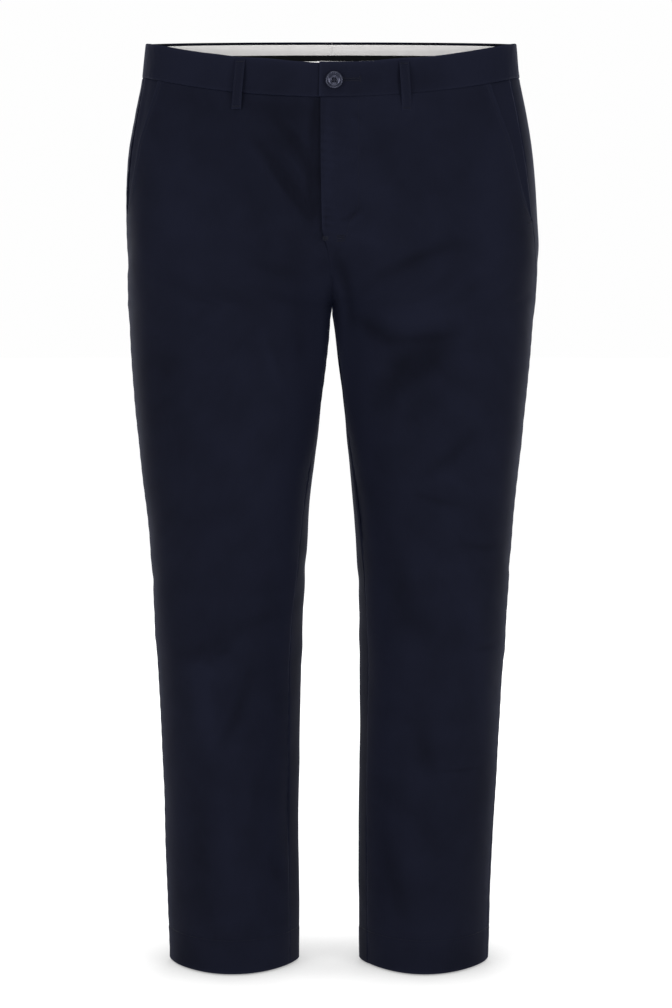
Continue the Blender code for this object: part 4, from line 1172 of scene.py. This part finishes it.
BAND_GIRTHS = {side: float(girth(side, 0)) - SEAM_GAP / 2 for side in (LEFT, RIGHT)}
for side, start in ((LEFT, -BAND_LAP), (RIGHT, -BAND_UNDER)):
    arcs = crowded(start, BAND_GIRTHS[side], BAND_COLUMN_STEP)
    drops = crowded(0.0, BAND_HEIGHT, BAND_ROW_STEP)
    if side == LEFT:
        arcs = finer_between(arcs, HOLE_FROM, HOLE_TO, HOLE_FINER_PAST, HOLE_FINER_STEP)
        drops = finer_about(drops, HOLE_DROP, HOLE_FINER_DROP, HOLE_FINER_DROP_STEP)
    else:
        arcs = finer_between(arcs, PUSH_ENDS, PUSH_STARTS, 0, PUSH_FINER_STEP)
    name = "waistband_" + SIDE_NAMES[side]
    cut_at = BAND_CUT_AT + BANDS_APART * side
    band = waist_strip(name, side, arcs, drops, band_depth, BAND_THICK, navy_twill, cut_at, band_edge)
    sheet_of_cloth(band, name)


def on_band(side, arc, drop, lift):
    """Points on the band's outside, and its outward direction there."""
    share = arc / girth(side, 0)
    height = height_at(side, share, BAND_TOP - drop)
    around = share * girth(side, height)
    points = place(side, around, height, band_depth(side, arc, drop) + lift)
    return points, outward(side, around, height)


hole_arcs = np.arange(HOLE_FROM + PURL_START, HOLE_TO, PURL_PITCH)
purls = []
for way in (-1, 1):
    near = on_band(LEFT, hole_arcs, HOLE_DROP + way * PURL_OFF, PURL_NEAR_LIFT)[0]
    far, ups = on_band(LEFT, hole_arcs, HOLE_DROP + way * (PURL_OFF + PURL_LONG), PURL_FAR_LIFT)
    purls.append((near, far, ups))
bar_drops = np.arange(HOLE_DROP - HOLE_BAR_UP, HOLE_DROP + HOLE_BAR_DOWN, PURL_PITCH)
bar_arcs = np.full(len(bar_drops), HOLE_TO)
bar_from, bar_ups = on_band(LEFT, bar_arcs + HOLE_BAR_FROM, bar_drops, HOLE_BAR_LIFT)
bar_to = on_band(LEFT, bar_arcs + HOLE_BAR_TO, bar_drops, HOLE_BAR_LIFT)[0]
sew("buttonhole_stitching", [*purls, (bar_from, bar_to, bar_ups)], navy_thread, PURL_RADIUS)

# ---- The waist facing and curtain ----
# Inside the band a pale cotton facing is sewn under its top edge, and under that hangs a near-black
# cotton curtain. The right facing peeps over the band beside the fly.
FACING_OUT, FACING_THICK, FACING_DROPS = -1.8, 1.0, (3.4, 18.4)
CURTAIN_OUT, CURTAIN_THICK, CURTAIN_DROPS = -3.3, 1.0, (15.4, 47.4)
LINING_WAVE, LINING_WAVE_ROUND, LINING_WAVE_DOWN = 0.12, 7.0, 6.0
LINING_STEP, LINING_FINER_PAST, LINING_FINER_STEP = 3.0, 3, 1.2
LINING_CUT_AT, LININGS_APART = 3800, 100
# The facing's top edge peeps over the band beside the fly, as (distance to the wearer's left, drop).
FACING_TOP = (
    (-52, FACING_DROPS[0]),
    (-38, 0.2),
    (-25, 0.05),
    (-15.5, -0.5),
    (-13, -1.05),
    (0, -0.86),
    (9, -0.7),
    (24, -0.72),
    (28, -0.3),
    (36, -0.25),
    (50, -0.3),
    (66, FACING_DROPS[0]),
)
FACING_START = {LEFT: BAND_UNDER + 1.5, RIGHT: -27.0}
CURTAIN_START = {LEFT: BAND_UNDER + 3, RIGHT: -4.0}

# Plain-woven cotton is matt and even, with a fine check where its threads go over and under, and a
# faint cloudiness of its finish.
PLAIN_THREADS = 0.9  # the real threads are 0.35 mm apart, drawn coarser so that they show
PLAIN_CLOUD, PLAIN_CHECK, PLAIN_HEIGHT = 50 / 3, 0.35, 0.1


def plain_cotton(name, light, dark, sheen):
    """light and dark are the two ends of the cloth's cloudiness."""
    made, tree = new_material(name)
    grain = add(tree, "UVMap", {"uv_map": "grain"}, {})["UV"]
    thread_look = {"Vector": grain, "Scale": wave_scale(PLAIN_THREADS)}
    across = add(tree, "TexWave", {"bands_direction": "X"}, thread_look)["Fac"]
    down = add(tree, "TexWave", {"bands_direction": "Y"}, thread_look)["Fac"]
    over = add(tree, "Math", {"operation": "MULTIPLY"}, {0: across, 1: down})[0]
    cloud_look = {"Vector": grain, "Scale": noise_scale(PLAIN_CLOUD), "Detail": 4.0}
    clouds = add(tree, "TexNoise", {}, cloud_look)["Fac"]
    share = add(tree, "Math", {"operation": "MULTIPLY_ADD"}, {0: over, 1: PLAIN_CHECK, 2: clouds})[0]
    body = add(tree, "Mix", MIX, {MIX_FACTOR: share, MIX_A: linear(dark), MIX_B: linear(light)})
    weave_look = {"Height": over, "Strength": 0.35, "Distance": PLAIN_HEIGHT * MM}
    weave = add(tree, "Bump", {}, weave_look)["Normal"]
    cloth = add(
        tree, "BsdfPrincipled", {},
        {
            "Base Color": body[MIX_RESULT],
            "Roughness": 0.85,
            "Specular IOR Level": 0.1,
            "Sheen Weight": sheen,
            "Normal": weave,
        },
    )
    add(tree, "OutputMaterial", {}, {"Surface": cloth["BSDF"]})
    return made


pale_cotton = plain_cotton("pale_plain_cotton", "#E6E4E3", "#D8D6D5", 0.05)
black_cotton = plain_cotton("near_black_plain_cotton", "#0D0E11", "#08090B", 0.0)


def facing_top(side, arc):
    """How far the facing's top edge lies below the band's level top."""
    return np.interp(side * arc, *zip(*FACING_TOP))


def lining_wave(side, arc, drop):
    """How the linings follow the band behind the fly and wave a little."""
    wave = LINING_WAVE * np.sin(arc / LINING_WAVE_ROUND + side) * np.sin(drop / LINING_WAVE_DOWN)
    return push_in(side, arc, BAND_TOP) + wave


def facing_depth(side, arc, drop):
    """How far the outside of the facing lies off the form."""
    return FACING_OUT + lining_wave(side, arc, drop)


def curtain_depth(side, arc, drop):
    """How far the outside of the curtain lies off the form."""
    return CURTAIN_OUT + lining_wave(side, arc, drop)


LININGS = {
    "facing": (FACING_START, facing_depth, FACING_THICK, FACING_DROPS, pale_cotton, facing_top),
    "curtain": (CURTAIN_START, curtain_depth, CURTAIN_THICK, CURTAIN_DROPS, black_cotton, None),
}
for side in (LEFT, RIGHT):
    for kind, (starts, depth_of, thick, (top, foot), cotton, top_of) in LININGS.items():
        arcs = crowded(starts[side], BAND_GIRTHS[side], LINING_STEP)
        if side == RIGHT:
            arcs = finer_between(arcs, PUSH_ENDS, PUSH_STARTS, LINING_FINER_PAST, LINING_FINER_STEP)
        drops = crowded(top, foot, LINING_STEP)
        name = "waist_" + kind + "_" + SIDE_NAMES[side]
        cut_at = LINING_CUT_AT + LININGS_APART * side
        lining = waist_strip(name, side, arcs, drops, depth_of, thick, cotton, cut_at, top_of)
        sheet_of_cloth(lining, name)

# ---- The belt loops ----
# Five narrow strips of the twill, folded in three, with a line of stitches down each side. Each is
# bar-tacked under the band's top edge and below the waist seam, and stands free between.
LOOP_WIDTH, LOOP_THICK, LOOP_LENGTH = 11.0, 1.6, 58.5
# The loops, as (name, side, arc, lean, twist). The lean is how far a loop's foot lies further round
# than a line straight down the band, and the twist how much further its outer edge stands off than
# its inner edge, at its middle. The back one is at the centre back seam.
LOOPS = (
    ("belt_loop_front_left", LEFT, 79.5, -2.4, -1.1),
    ("belt_loop_front_right", RIGHT, 102.0, -2.0, -1.3),
    ("belt_loop_side_left", LEFT, 318.0, 0.0, 0.7),
    ("belt_loop_side_right", RIGHT, 318.0, 0.0, -0.6),
    ("belt_loop_back", LEFT, float(girth(LEFT, 0)), 0.0, 0.4),
)
# A loop from top to bottom, as (drop below the band's top, depth of its inner face).
LOOP_PATH = (
    (3.2, 0.9),
    (8, 1.5),
    (14, 2.6),
    (24, 3.4),
    (34, 3.2),
    (42, 2.4),
    (49, 1.3),
    (55, 0.5),
    (59.5, 0.3),
)
LOOP_COLUMN_STEP, LOOP_ROW_STEP, LOOP_CUT_AT = 0.9, 1.1, 4200
LOOP_STITCH_IN, LOOP_STITCH_PITCH, LOOP_STITCH_LONG = 2.1, 2.9, 2.2
LOOP_STITCH_START, LOOP_STITCH_END = 2, 3
LOOP_TACKS = (5.6, 56.4)
LOOP_TACK_WIDE, LOOP_TACK_HIGH = 9.4, 1.7
# How far the threads lie below the loop's face, and how the cloth is drawn thin along them.
LOOP_STITCH_SINK, LOOP_TACK_SINK = 0.13, 0.08
LOOP_THIN, LOOP_STITCH_REACH, LOOP_TACK_REACH = 0.22, 0.6, 1.4
LOOP_BOW, LOOP_RIPPLE, LOOP_RIPPLE_LONG = 0.25, 0.08, 4.7
LOOP_SIDE_WORN, LOOP_SIDE_REACH, LOOP_END_WORN, LOOP_END_REACH = 0.25, 0.9, 0.15, 1.2
loop_drops, loop_depths = np.array(LOOP_PATH).T


def loop_place(side, middle, lean, across, drop, depth):
    """Points on a loop, at a place across it and a drop below the band's top."""
    share = middle / girth(side, 0)
    height = height_at(side, share, BAND_TOP - drop)
    down = (drop - loop_drops[0]) / (loop_drops[-1] - loop_drops[0])
    arc = share * girth(side, height) + lean * down + across
    return place(side, arc, height, depth), outward(side, arc, height)


def loop_depth(across, drop, twist):
    """How far a loop's inner face stands off. It bows out a little across, twists and ripples."""
    down = (drop - loop_drops[0]) / (loop_drops[-1] - loop_drops[0])
    twisted = twist * np.sin(math.pi * down) * across / LOOP_WIDTH
    bowed = LOOP_BOW * (1 - (2 * across / LOOP_WIDTH) ** 2)
    rippled = LOOP_RIPPLE * np.sin(drop / LOOP_RIPPLE_LONG + twist)
    return np.interp(drop, loop_drops, loop_depths) + twisted + bowed + rippled


def belt_loop(name, side, middle, lean, twist):
    """A loop's folded strip, drawn thinner along its stitches and bar tacks."""
    across, drops = np.meshgrid(
        crowded(-LOOP_WIDTH / 2, LOOP_WIDTH / 2, LOOP_COLUMN_STEP, EDGE_OFFSETS[:4]),
        crowded(loop_drops[0], loop_drops[-1], LOOP_ROW_STEP, EDGE_OFFSETS[:5]),
    )
    from_side = LOOP_WIDTH / 2 - np.abs(across)
    from_end = np.minimum(drops - loop_drops[0], loop_drops[-1] - drops)
    full = fold_round(np.minimum(from_side, from_end), LOOP_THICK)
    middle_depth = loop_depth(across, drops, twist) + LOOP_THICK / 2
    stitched = np.exp(-(((from_side - LOOP_STITCH_IN) / LOOP_STITCH_REACH) ** 2))
    tacked = sum(np.exp(-(((drops - tack) / LOOP_TACK_REACH) ** 2)) for tack in LOOP_TACKS)
    full = full * (1 - LOOP_THIN * np.clip(stitched + tacked, 0, 1))
    grids = [
        loop_place(side, middle, lean, across, drops, middle_depth + way * full * LOOP_THICK / 2)[0]
        for way in (1, -1)
    ]
    wear_and_painted_light = LOOP_SIDE_WORN * np.exp(-from_side / LOOP_SIDE_REACH)
    wear_and_painted_light += LOOP_END_WORN * np.exp(-from_end / LOOP_END_REACH)
    grain = np.stack([across + LOOP_CUT_AT + middle, drops], axis=-1)
    return cloth_shell(name, *grids, grain, wear_and_painted_light, navy_twill)


def loop_row(side, middle, lean, twist, across, drops, sink):
    """Starts, ends and ups of threads on a loop, from the first of two drops to the second."""
    ends = []
    for drop in drops:
        depth = loop_depth(across, drop, twist) + LOOP_THICK - sink
        at, ups = loop_place(side, middle, lean, across, drop, depth)
        ends.append(at)
    return (*ends, ups)


def loop_threads(*loop):
    """The two lines of stitches down a loop and its bar tacks."""
    stitch_at = LOOP_WIDTH / 2 - LOOP_STITCH_IN
    first, last = LOOP_TACKS[0] + LOOP_STITCH_START, LOOP_TACKS[1] - LOOP_STITCH_END
    starts = np.arange(first, last, LOOP_STITCH_PITCH)
    stitches = (starts, starts + LOOP_STITCH_LONG)
    rows = [loop_row(*loop, across, stitches, LOOP_STITCH_SINK) for across in (-stitch_at, stitch_at)]
    along = np.arange(-LOOP_TACK_WIDE / 2, LOOP_TACK_WIDE / 2, TACK_PITCH)
    for tack in LOOP_TACKS:
        across_tack = (tack - LOOP_TACK_HIGH / 2, tack + LOOP_TACK_HIGH / 2)
        rows.append(loop_row(*loop, along, across_tack, LOOP_TACK_SINK))
    return rows


for name, *loop in LOOPS:
    strip = belt_loop(name + "_cloth", *loop)
    sheet_of_cloth(strip, name)
    sew(name + "_stitching", loop_threads(*loop), navy_thread)

# ---- The waist button ----
# A four-hole button turned from dark polyester resin, with a raised rim round a dished middle. It is
# sewn to the band's right end through the holes, on a wound shank, and comes through the buttonhole.
BUTTON_ARC, BUTTON_DROP, BUTTON_OFF = 2.3, 21.2, 1.0
BUTTON_STEPS = 96
# Half of its section, as (radius, height above its back).
BUTTON_PROFILE = (
    (0, 0),
    (7.0, 0),
    (8.4, 0.35),
    (9.2, 1.0),
    (9.6, 1.8),
    (9.5, 2.6),
    (9.0, 3.1),
    (8.3, 3.2),
    (7.7, 2.9),
    (7.2, 2.2),
    (6.8, 1.75),
    (6.3, 1.7),
    (5.7, 1.95),
    (5.0, 2.2),
    (4.4, 2.15),
    (3.8, 1.8),
    (3.3, 1.5),
    (2.6, 1.42),
    (0, 1.42),
)
PROFILE_STEPS = 6
# Its holes lie on a ring, and the drill for them goes from behind it to in front of it.
HOLES, HOLE_RADIUS, HOLE_RING, HOLE_STEPS = 4, 1.0, 2.1, 28
DRILL_FROM, DRILL_TO = -2, 6
BUTTON_SHARP = math.radians(50)

button_share = BUTTON_ARC / float(girth(LEFT, 0))
button_height = float(height_at(LEFT, button_share, BAND_TOP - BUTTON_DROP))
button_place = Vector(place(LEFT, BUTTON_ARC, button_height, BAND_OUT + BUTTON_OFF).tolist())
button_facing = Vector(outward(LEFT, BUTTON_ARC, button_height).tolist())
button_up = button_facing.cross(Vector((1, 0, 0))).normalized()
button_turn = Matrix((button_up.cross(button_facing), button_up, button_facing)).transposed()


def smooth_profile(points, steps):
    """The points of a rounded line through these ones, by Catmull and Rom's rule."""
    points = np.array(points, float)
    ends = np.concatenate([points[:1], points, points[-1:]])
    t = np.linspace(0, 1, steps, endpoint=False)[:, None]
    parts = []
    for a, b, c, d in zip(ends, ends[1:], ends[2:], ends[3:]):
        curved = (2 * a - 5 * b + 4 * c - d) * t**2 + (3 * b - a - 3 * c + d) * t**3
        parts.append(0.5 * (2 * b + (c - a) * t + curved))
    return np.concatenate([*parts, points[-1:]])


def turned_mesh(name, profile, steps):
    """A closed mesh turned about z from a profile that starts and ends on it."""
    turn = np.linspace(0, 2 * math.pi, steps, endpoint=False)
    radius, rise = np.array(profile)[1:-1].T
    x, y = radius[:, None] * np.cos(turn), radius[:, None] * np.sin(turn)
    points = np.stack([x, y, np.repeat(rise[:, None], steps, 1)], axis=-1).reshape(-1, 3)
    index = np.arange(len(points)).reshape(len(radius), steps)
    beside = np.roll(index, -1, axis=1)
    walls = np.stack([index[:-1], beside[:-1], beside[1:], index[1:]], axis=-1).reshape(-1, 4)
    foot, head = len(points), len(points) + 1
    points = np.concatenate([points, [[0, 0, profile[0][1]], [0, 0, profile[-1][1]]]])
    first = np.stack([np.full(steps, foot), beside[0], index[0]], axis=-1)
    last = np.stack([np.full(steps, head), index[-1], beside[-1]], axis=-1)
    return closed_mesh(name, points, [walls, first, last])


# Cast polyester resin, tumbled to a half-gloss: smoky navy grey, faintly clouded, with bright soft
# highlights along its rim.
RESIN_CLOUD, TUMBLE_MARK, TUMBLE_HEIGHT = 50 / 13, 5 / 11, 0.05


def clouded_resin(name, light, dark):
    """light and dark are the two ends of the resin's cloudiness."""
    made, tree = new_material(name)
    inside = add(tree, "TexCoord", {}, {})["Object"]
    cloud_look = {"Vector": inside, "Scale": noise_scale(RESIN_CLOUD), "Detail": 4.0, "Distortion": 1.0}
    clouds = add(tree, "TexNoise", {}, cloud_look)["Fac"]
    body = add(tree, "Mix", MIX, {MIX_FACTOR: clouds, MIX_A: linear(dark), MIX_B: linear(light)})
    mark_look = {"Vector": inside, "Scale": noise_scale(TUMBLE_MARK), "Detail": 2.0}
    marks = add(tree, "TexNoise", {}, mark_look)["Fac"]
    tumbled_look = {"Height": marks, "Strength": 0.15, "Distance": TUMBLE_HEIGHT * MM}
    tumbled = add(tree, "Bump", {}, tumbled_look)["Normal"]
    resin = add(
        tree, "BsdfPrincipled", {},
        {
            "Base Color": body[MIX_RESULT],
            "Roughness": 0.18,
            "IOR": 1.54,
            "Specular IOR Level": 0.4,
            "Specular Tint": linear("#CDD0F0"),
            "Normal": tumbled,
        },
    )
    add(tree, "OutputMaterial", {}, {"Surface": resin["BSDF"]})
    return made


profile = smooth_profile(BUTTON_PROFILE, PROFILE_STEPS)
blank = new_object("button_blank", turned_mesh("button_blank", profile, BUTTON_STEPS))
drill_profile = [(0, DRILL_FROM), (HOLE_RADIUS, DRILL_FROM), (HOLE_RADIUS, DRILL_TO), (0, DRILL_TO)]
drill_mesh = turned_mesh("button_drill", drill_profile, HOLE_STEPS)
drills = []
for index in range(HOLES):
    angle = 2 * math.pi * (index + 0.5) / HOLES
    drill = new_object(f"button_drill_{index}", drill_mesh)
    drill.location = Vector((math.cos(angle), math.sin(angle), 0)) * HOLE_RING * MM
    drilled = blank.modifiers.new(f"hole_{index}", "BOOLEAN")
    drilled.operation = "DIFFERENCE"
    drilled.object = drill
    drills.append(drill)
bpy.context.view_layer.update()
drilled_mesh = bpy.data.meshes.new_from_object(
    blank.evaluated_get(bpy.context.evaluated_depsgraph_get())
)
for spare in (blank, *drills):
    bpy.data.objects.remove(spare)
drilled_mesh.name = "resin_button"
drilled_mesh.materials.clear()
drilled_mesh.materials.append(clouded_resin("dark_polyester_resin", "#23252F", "#161821"))
drilled_mesh.set_sharp_from_angle(angle=BUTTON_SHARP)
button = new_object("resin_button", drilled_mesh)
button.matrix_world = Matrix.Translation(button_place * MM) @ button_turn.to_4x4()
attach(button, "root")
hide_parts("waist_button")

# The thread runs across in two bars between pairs of holes, goes back through them, and winds round
# its shank behind. Heights are above the button's back.
BUTTON_THREAD_RADIUS, BUTTON_THREADS, THREADS_SPREAD = 0.33, 4, 0.5
BAR_PAST_HOLE, BAR_RISE, BAR_FOOT, BAR_HEAD, BAR_CLOSES = 0.25, 1.75, -2.6, 1.65, 0.9
SHANK_RADIUS, SHANK_TURNS, SHANK_STEPS, SHANK_FROM, SHANK_LONG = 1.7, 5, 12, -1.5, 1.3


def on_button(x, y, rise):
    """Points in the button's own frame, brought to its place."""
    local = np.stack(np.broadcast_arrays(np.asarray(x, float), y, rise), axis=-1)
    return local @ np.array(button_turn).T + np.array(button_place)


hole_at = HOLE_RING * math.cos(math.pi / HOLES)
spread_of_threads = np.linspace(-THREADS_SPREAD, THREADS_SPREAD, BUTTON_THREADS)
ups = np.tile(np.array(button_facing), (BUTTON_THREADS, 1))
# The threads that run straight back through the holes need ups that lean off that line.
leaning = ups + [1, 0, 0]
bars = []
for x in (-hole_at, hole_at):
    xs = x + spread_of_threads
    bar_end = hole_at + BAR_PAST_HOLE
    bars.append((on_button(xs, -bar_end, BAR_RISE), on_button(xs, bar_end, BAR_RISE), ups))
    for y in (-hole_at, hole_at):
        feet = on_button(xs * BAR_CLOSES, y, BAR_FOOT)
        bars.append((feet, on_button(xs, y, BAR_HEAD), leaning))
turns = np.linspace(0, 2 * math.pi * SHANK_TURNS, SHANK_STEPS * SHANK_TURNS)
shank_rise = SHANK_FROM + SHANK_LONG * turns / turns[-1]
wound = on_button(SHANK_RADIUS * np.cos(turns), SHANK_RADIUS * np.sin(turns), shank_rise)
bars.append((wound[:-1], wound[1:], np.tile(np.array(button_facing), (len(turns) - 1, 1))))
sew("button_thread", bars, navy_thread, BUTTON_THREAD_RADIUS)

# ---- Floor, light and camera ----
# The trousers stand on a sweep of white paper in a white room, between soft boxes in front, behind
# and overhead. The camera is level, at the height of the seat.
FLOOR_DROP, FLOOR_REACH = 1.5, 30000.0
FLOOR_CORNERS = ((-1, -1), (1, -1), (1, 1), (-1, 1))
floor_mesh = bpy.data.meshes.new("studio_floor")
floor_points = np.array([(x * FLOOR_REACH, y * FLOOR_REACH, HEM - FLOOR_DROP) for x, y in FLOOR_CORNERS])
floor_mesh.from_pydata((floor_points * MM).tolist(), [], [(0, 1, 2, 3)])
floor = new_object("studio_floor", floor_mesh)
# Matt white paper that also glows, and its glow is darkened by ambient occlusion close round what stands
# on it, which paints a soft contact shadow.
PAPER_GLOW, PAPER_SHADE_REACH = 0.9, 0.11
paper, tree = new_material("white_sweep_paper")
open_sky = add(tree, "AmbientOcclusion", {}, {"Distance": PAPER_SHADE_REACH})["Color"]
sheet = add(
    tree, "BsdfPrincipled", {},
    {
        "Base Color": linear("#959595"),
        "Roughness": 1.0,
        "Specular IOR Level": 0.0,
        "Emission Color": open_sky,
        "Emission Strength": PAPER_GLOW,
    },
)
add(tree, "OutputMaterial", {}, {"Surface": sheet["BSDF"]})
floor_mesh.materials.append(paper)

# The room is white to the eye and gives a dimmer even light, so that the soft boxes shape the cloth.
ROOM_LIGHT, ROOM_SHOWN = 0.4, 0.99
world = bpy.data.worlds.new("white_room")
bpy.context.scene.world = world
world.use_nodes = True
tree = world.node_tree
tree.nodes.clear()
seen = add(tree, "LightPath", {}, {})["Is Camera Ray"]
lit = add(tree, "Background", {}, {"Color": (1, 1, 1, 1), "Strength": ROOM_LIGHT})[0]
shown = add(tree, "Background", {}, {"Color": (1, 1, 1, 1), "Strength": ROOM_SHOWN})[0]
room = add(tree, "MixShader", {}, {0: seen, 1: lit, 2: shown})[0]
add(tree, "OutputWorld", {}, {"Surface": room})

# The soft boxes, in metres, as (name, place, aim, width, height, watts).
LIGHTS = (
    ("top_softbox", (0, -0.4, 2.6), (0, 0, -0.4), 2.0, 1.8, 24),
    ("front_left_softbox", (2.1, -2.3, 0.2), (0, 0, -0.6), 1.2, 2.0, 55),
    ("front_right_softbox", (-2.1, -2.3, 0.2), (0, 0, -0.6), 1.2, 2.0, 52),
    ("low_softbox", (0, -3.3, -0.75), (0, 0, -0.45), 1.8, 0.4, 24),
    ("back_left_softbox", (1.9, 2.4, -0.2), (0, 0, -0.75), 1.0, 1.6, 40),
    ("back_right_softbox", (-1.9, 2.4, -0.2), (0, 0, -0.75), 1.0, 1.6, 40),
    ("back_softbox", (0.4, 3.3, 0.3), (0, 0, -0.5), 1.4, 1.6, 48),
)
for name, spot, aim, width, height, watts in LIGHTS:
    data = bpy.data.lights.new(name, "AREA")
    data.shape = "RECTANGLE"
    data.size, data.size_y, data.energy = width, height, watts
    light = bpy.data.objects.new(name, data)
    light.visible_camera = False
    light.location = spot
    light.rotation_euler = (Vector(aim) - Vector(spot)).to_track_quat("-Z", "Y").to_euler()
    bpy.context.scene.collection.objects.link(light)

# Where the horizon and the centre line lie in the picture is set by shifting the lens.
CAMERA_BACK, CAMERA_HEIGHT = 2898.0, -273.9
LENS, SENSOR = 90.0, 36.0
PICTURE_WIDE, PICTURE_HIGH = 672, 1008
HORIZON_ROW, CENTRE_COLUMN = 300, 332.1
camera_data = bpy.data.cameras.new("camera")
camera_data.lens, camera_data.sensor_width = LENS, SENSOR
camera_data.shift_x = (PICTURE_WIDE / 2 - CENTRE_COLUMN) / PICTURE_HIGH
camera_data.shift_y = (HORIZON_ROW - PICTURE_HIGH / 2) / PICTURE_HIGH
camera = bpy.data.objects.new("camera", camera_data)
camera.location = Vector((0, -CAMERA_BACK, CAMERA_HEIGHT)) * MM
camera.rotation_euler = (math.pi / 2, 0, 0)
bpy.context.scene.collection.objects.link(camera)
bpy.context.scene.camera = camera
bpy.context.scene.view_settings.view_transform = "Standard"
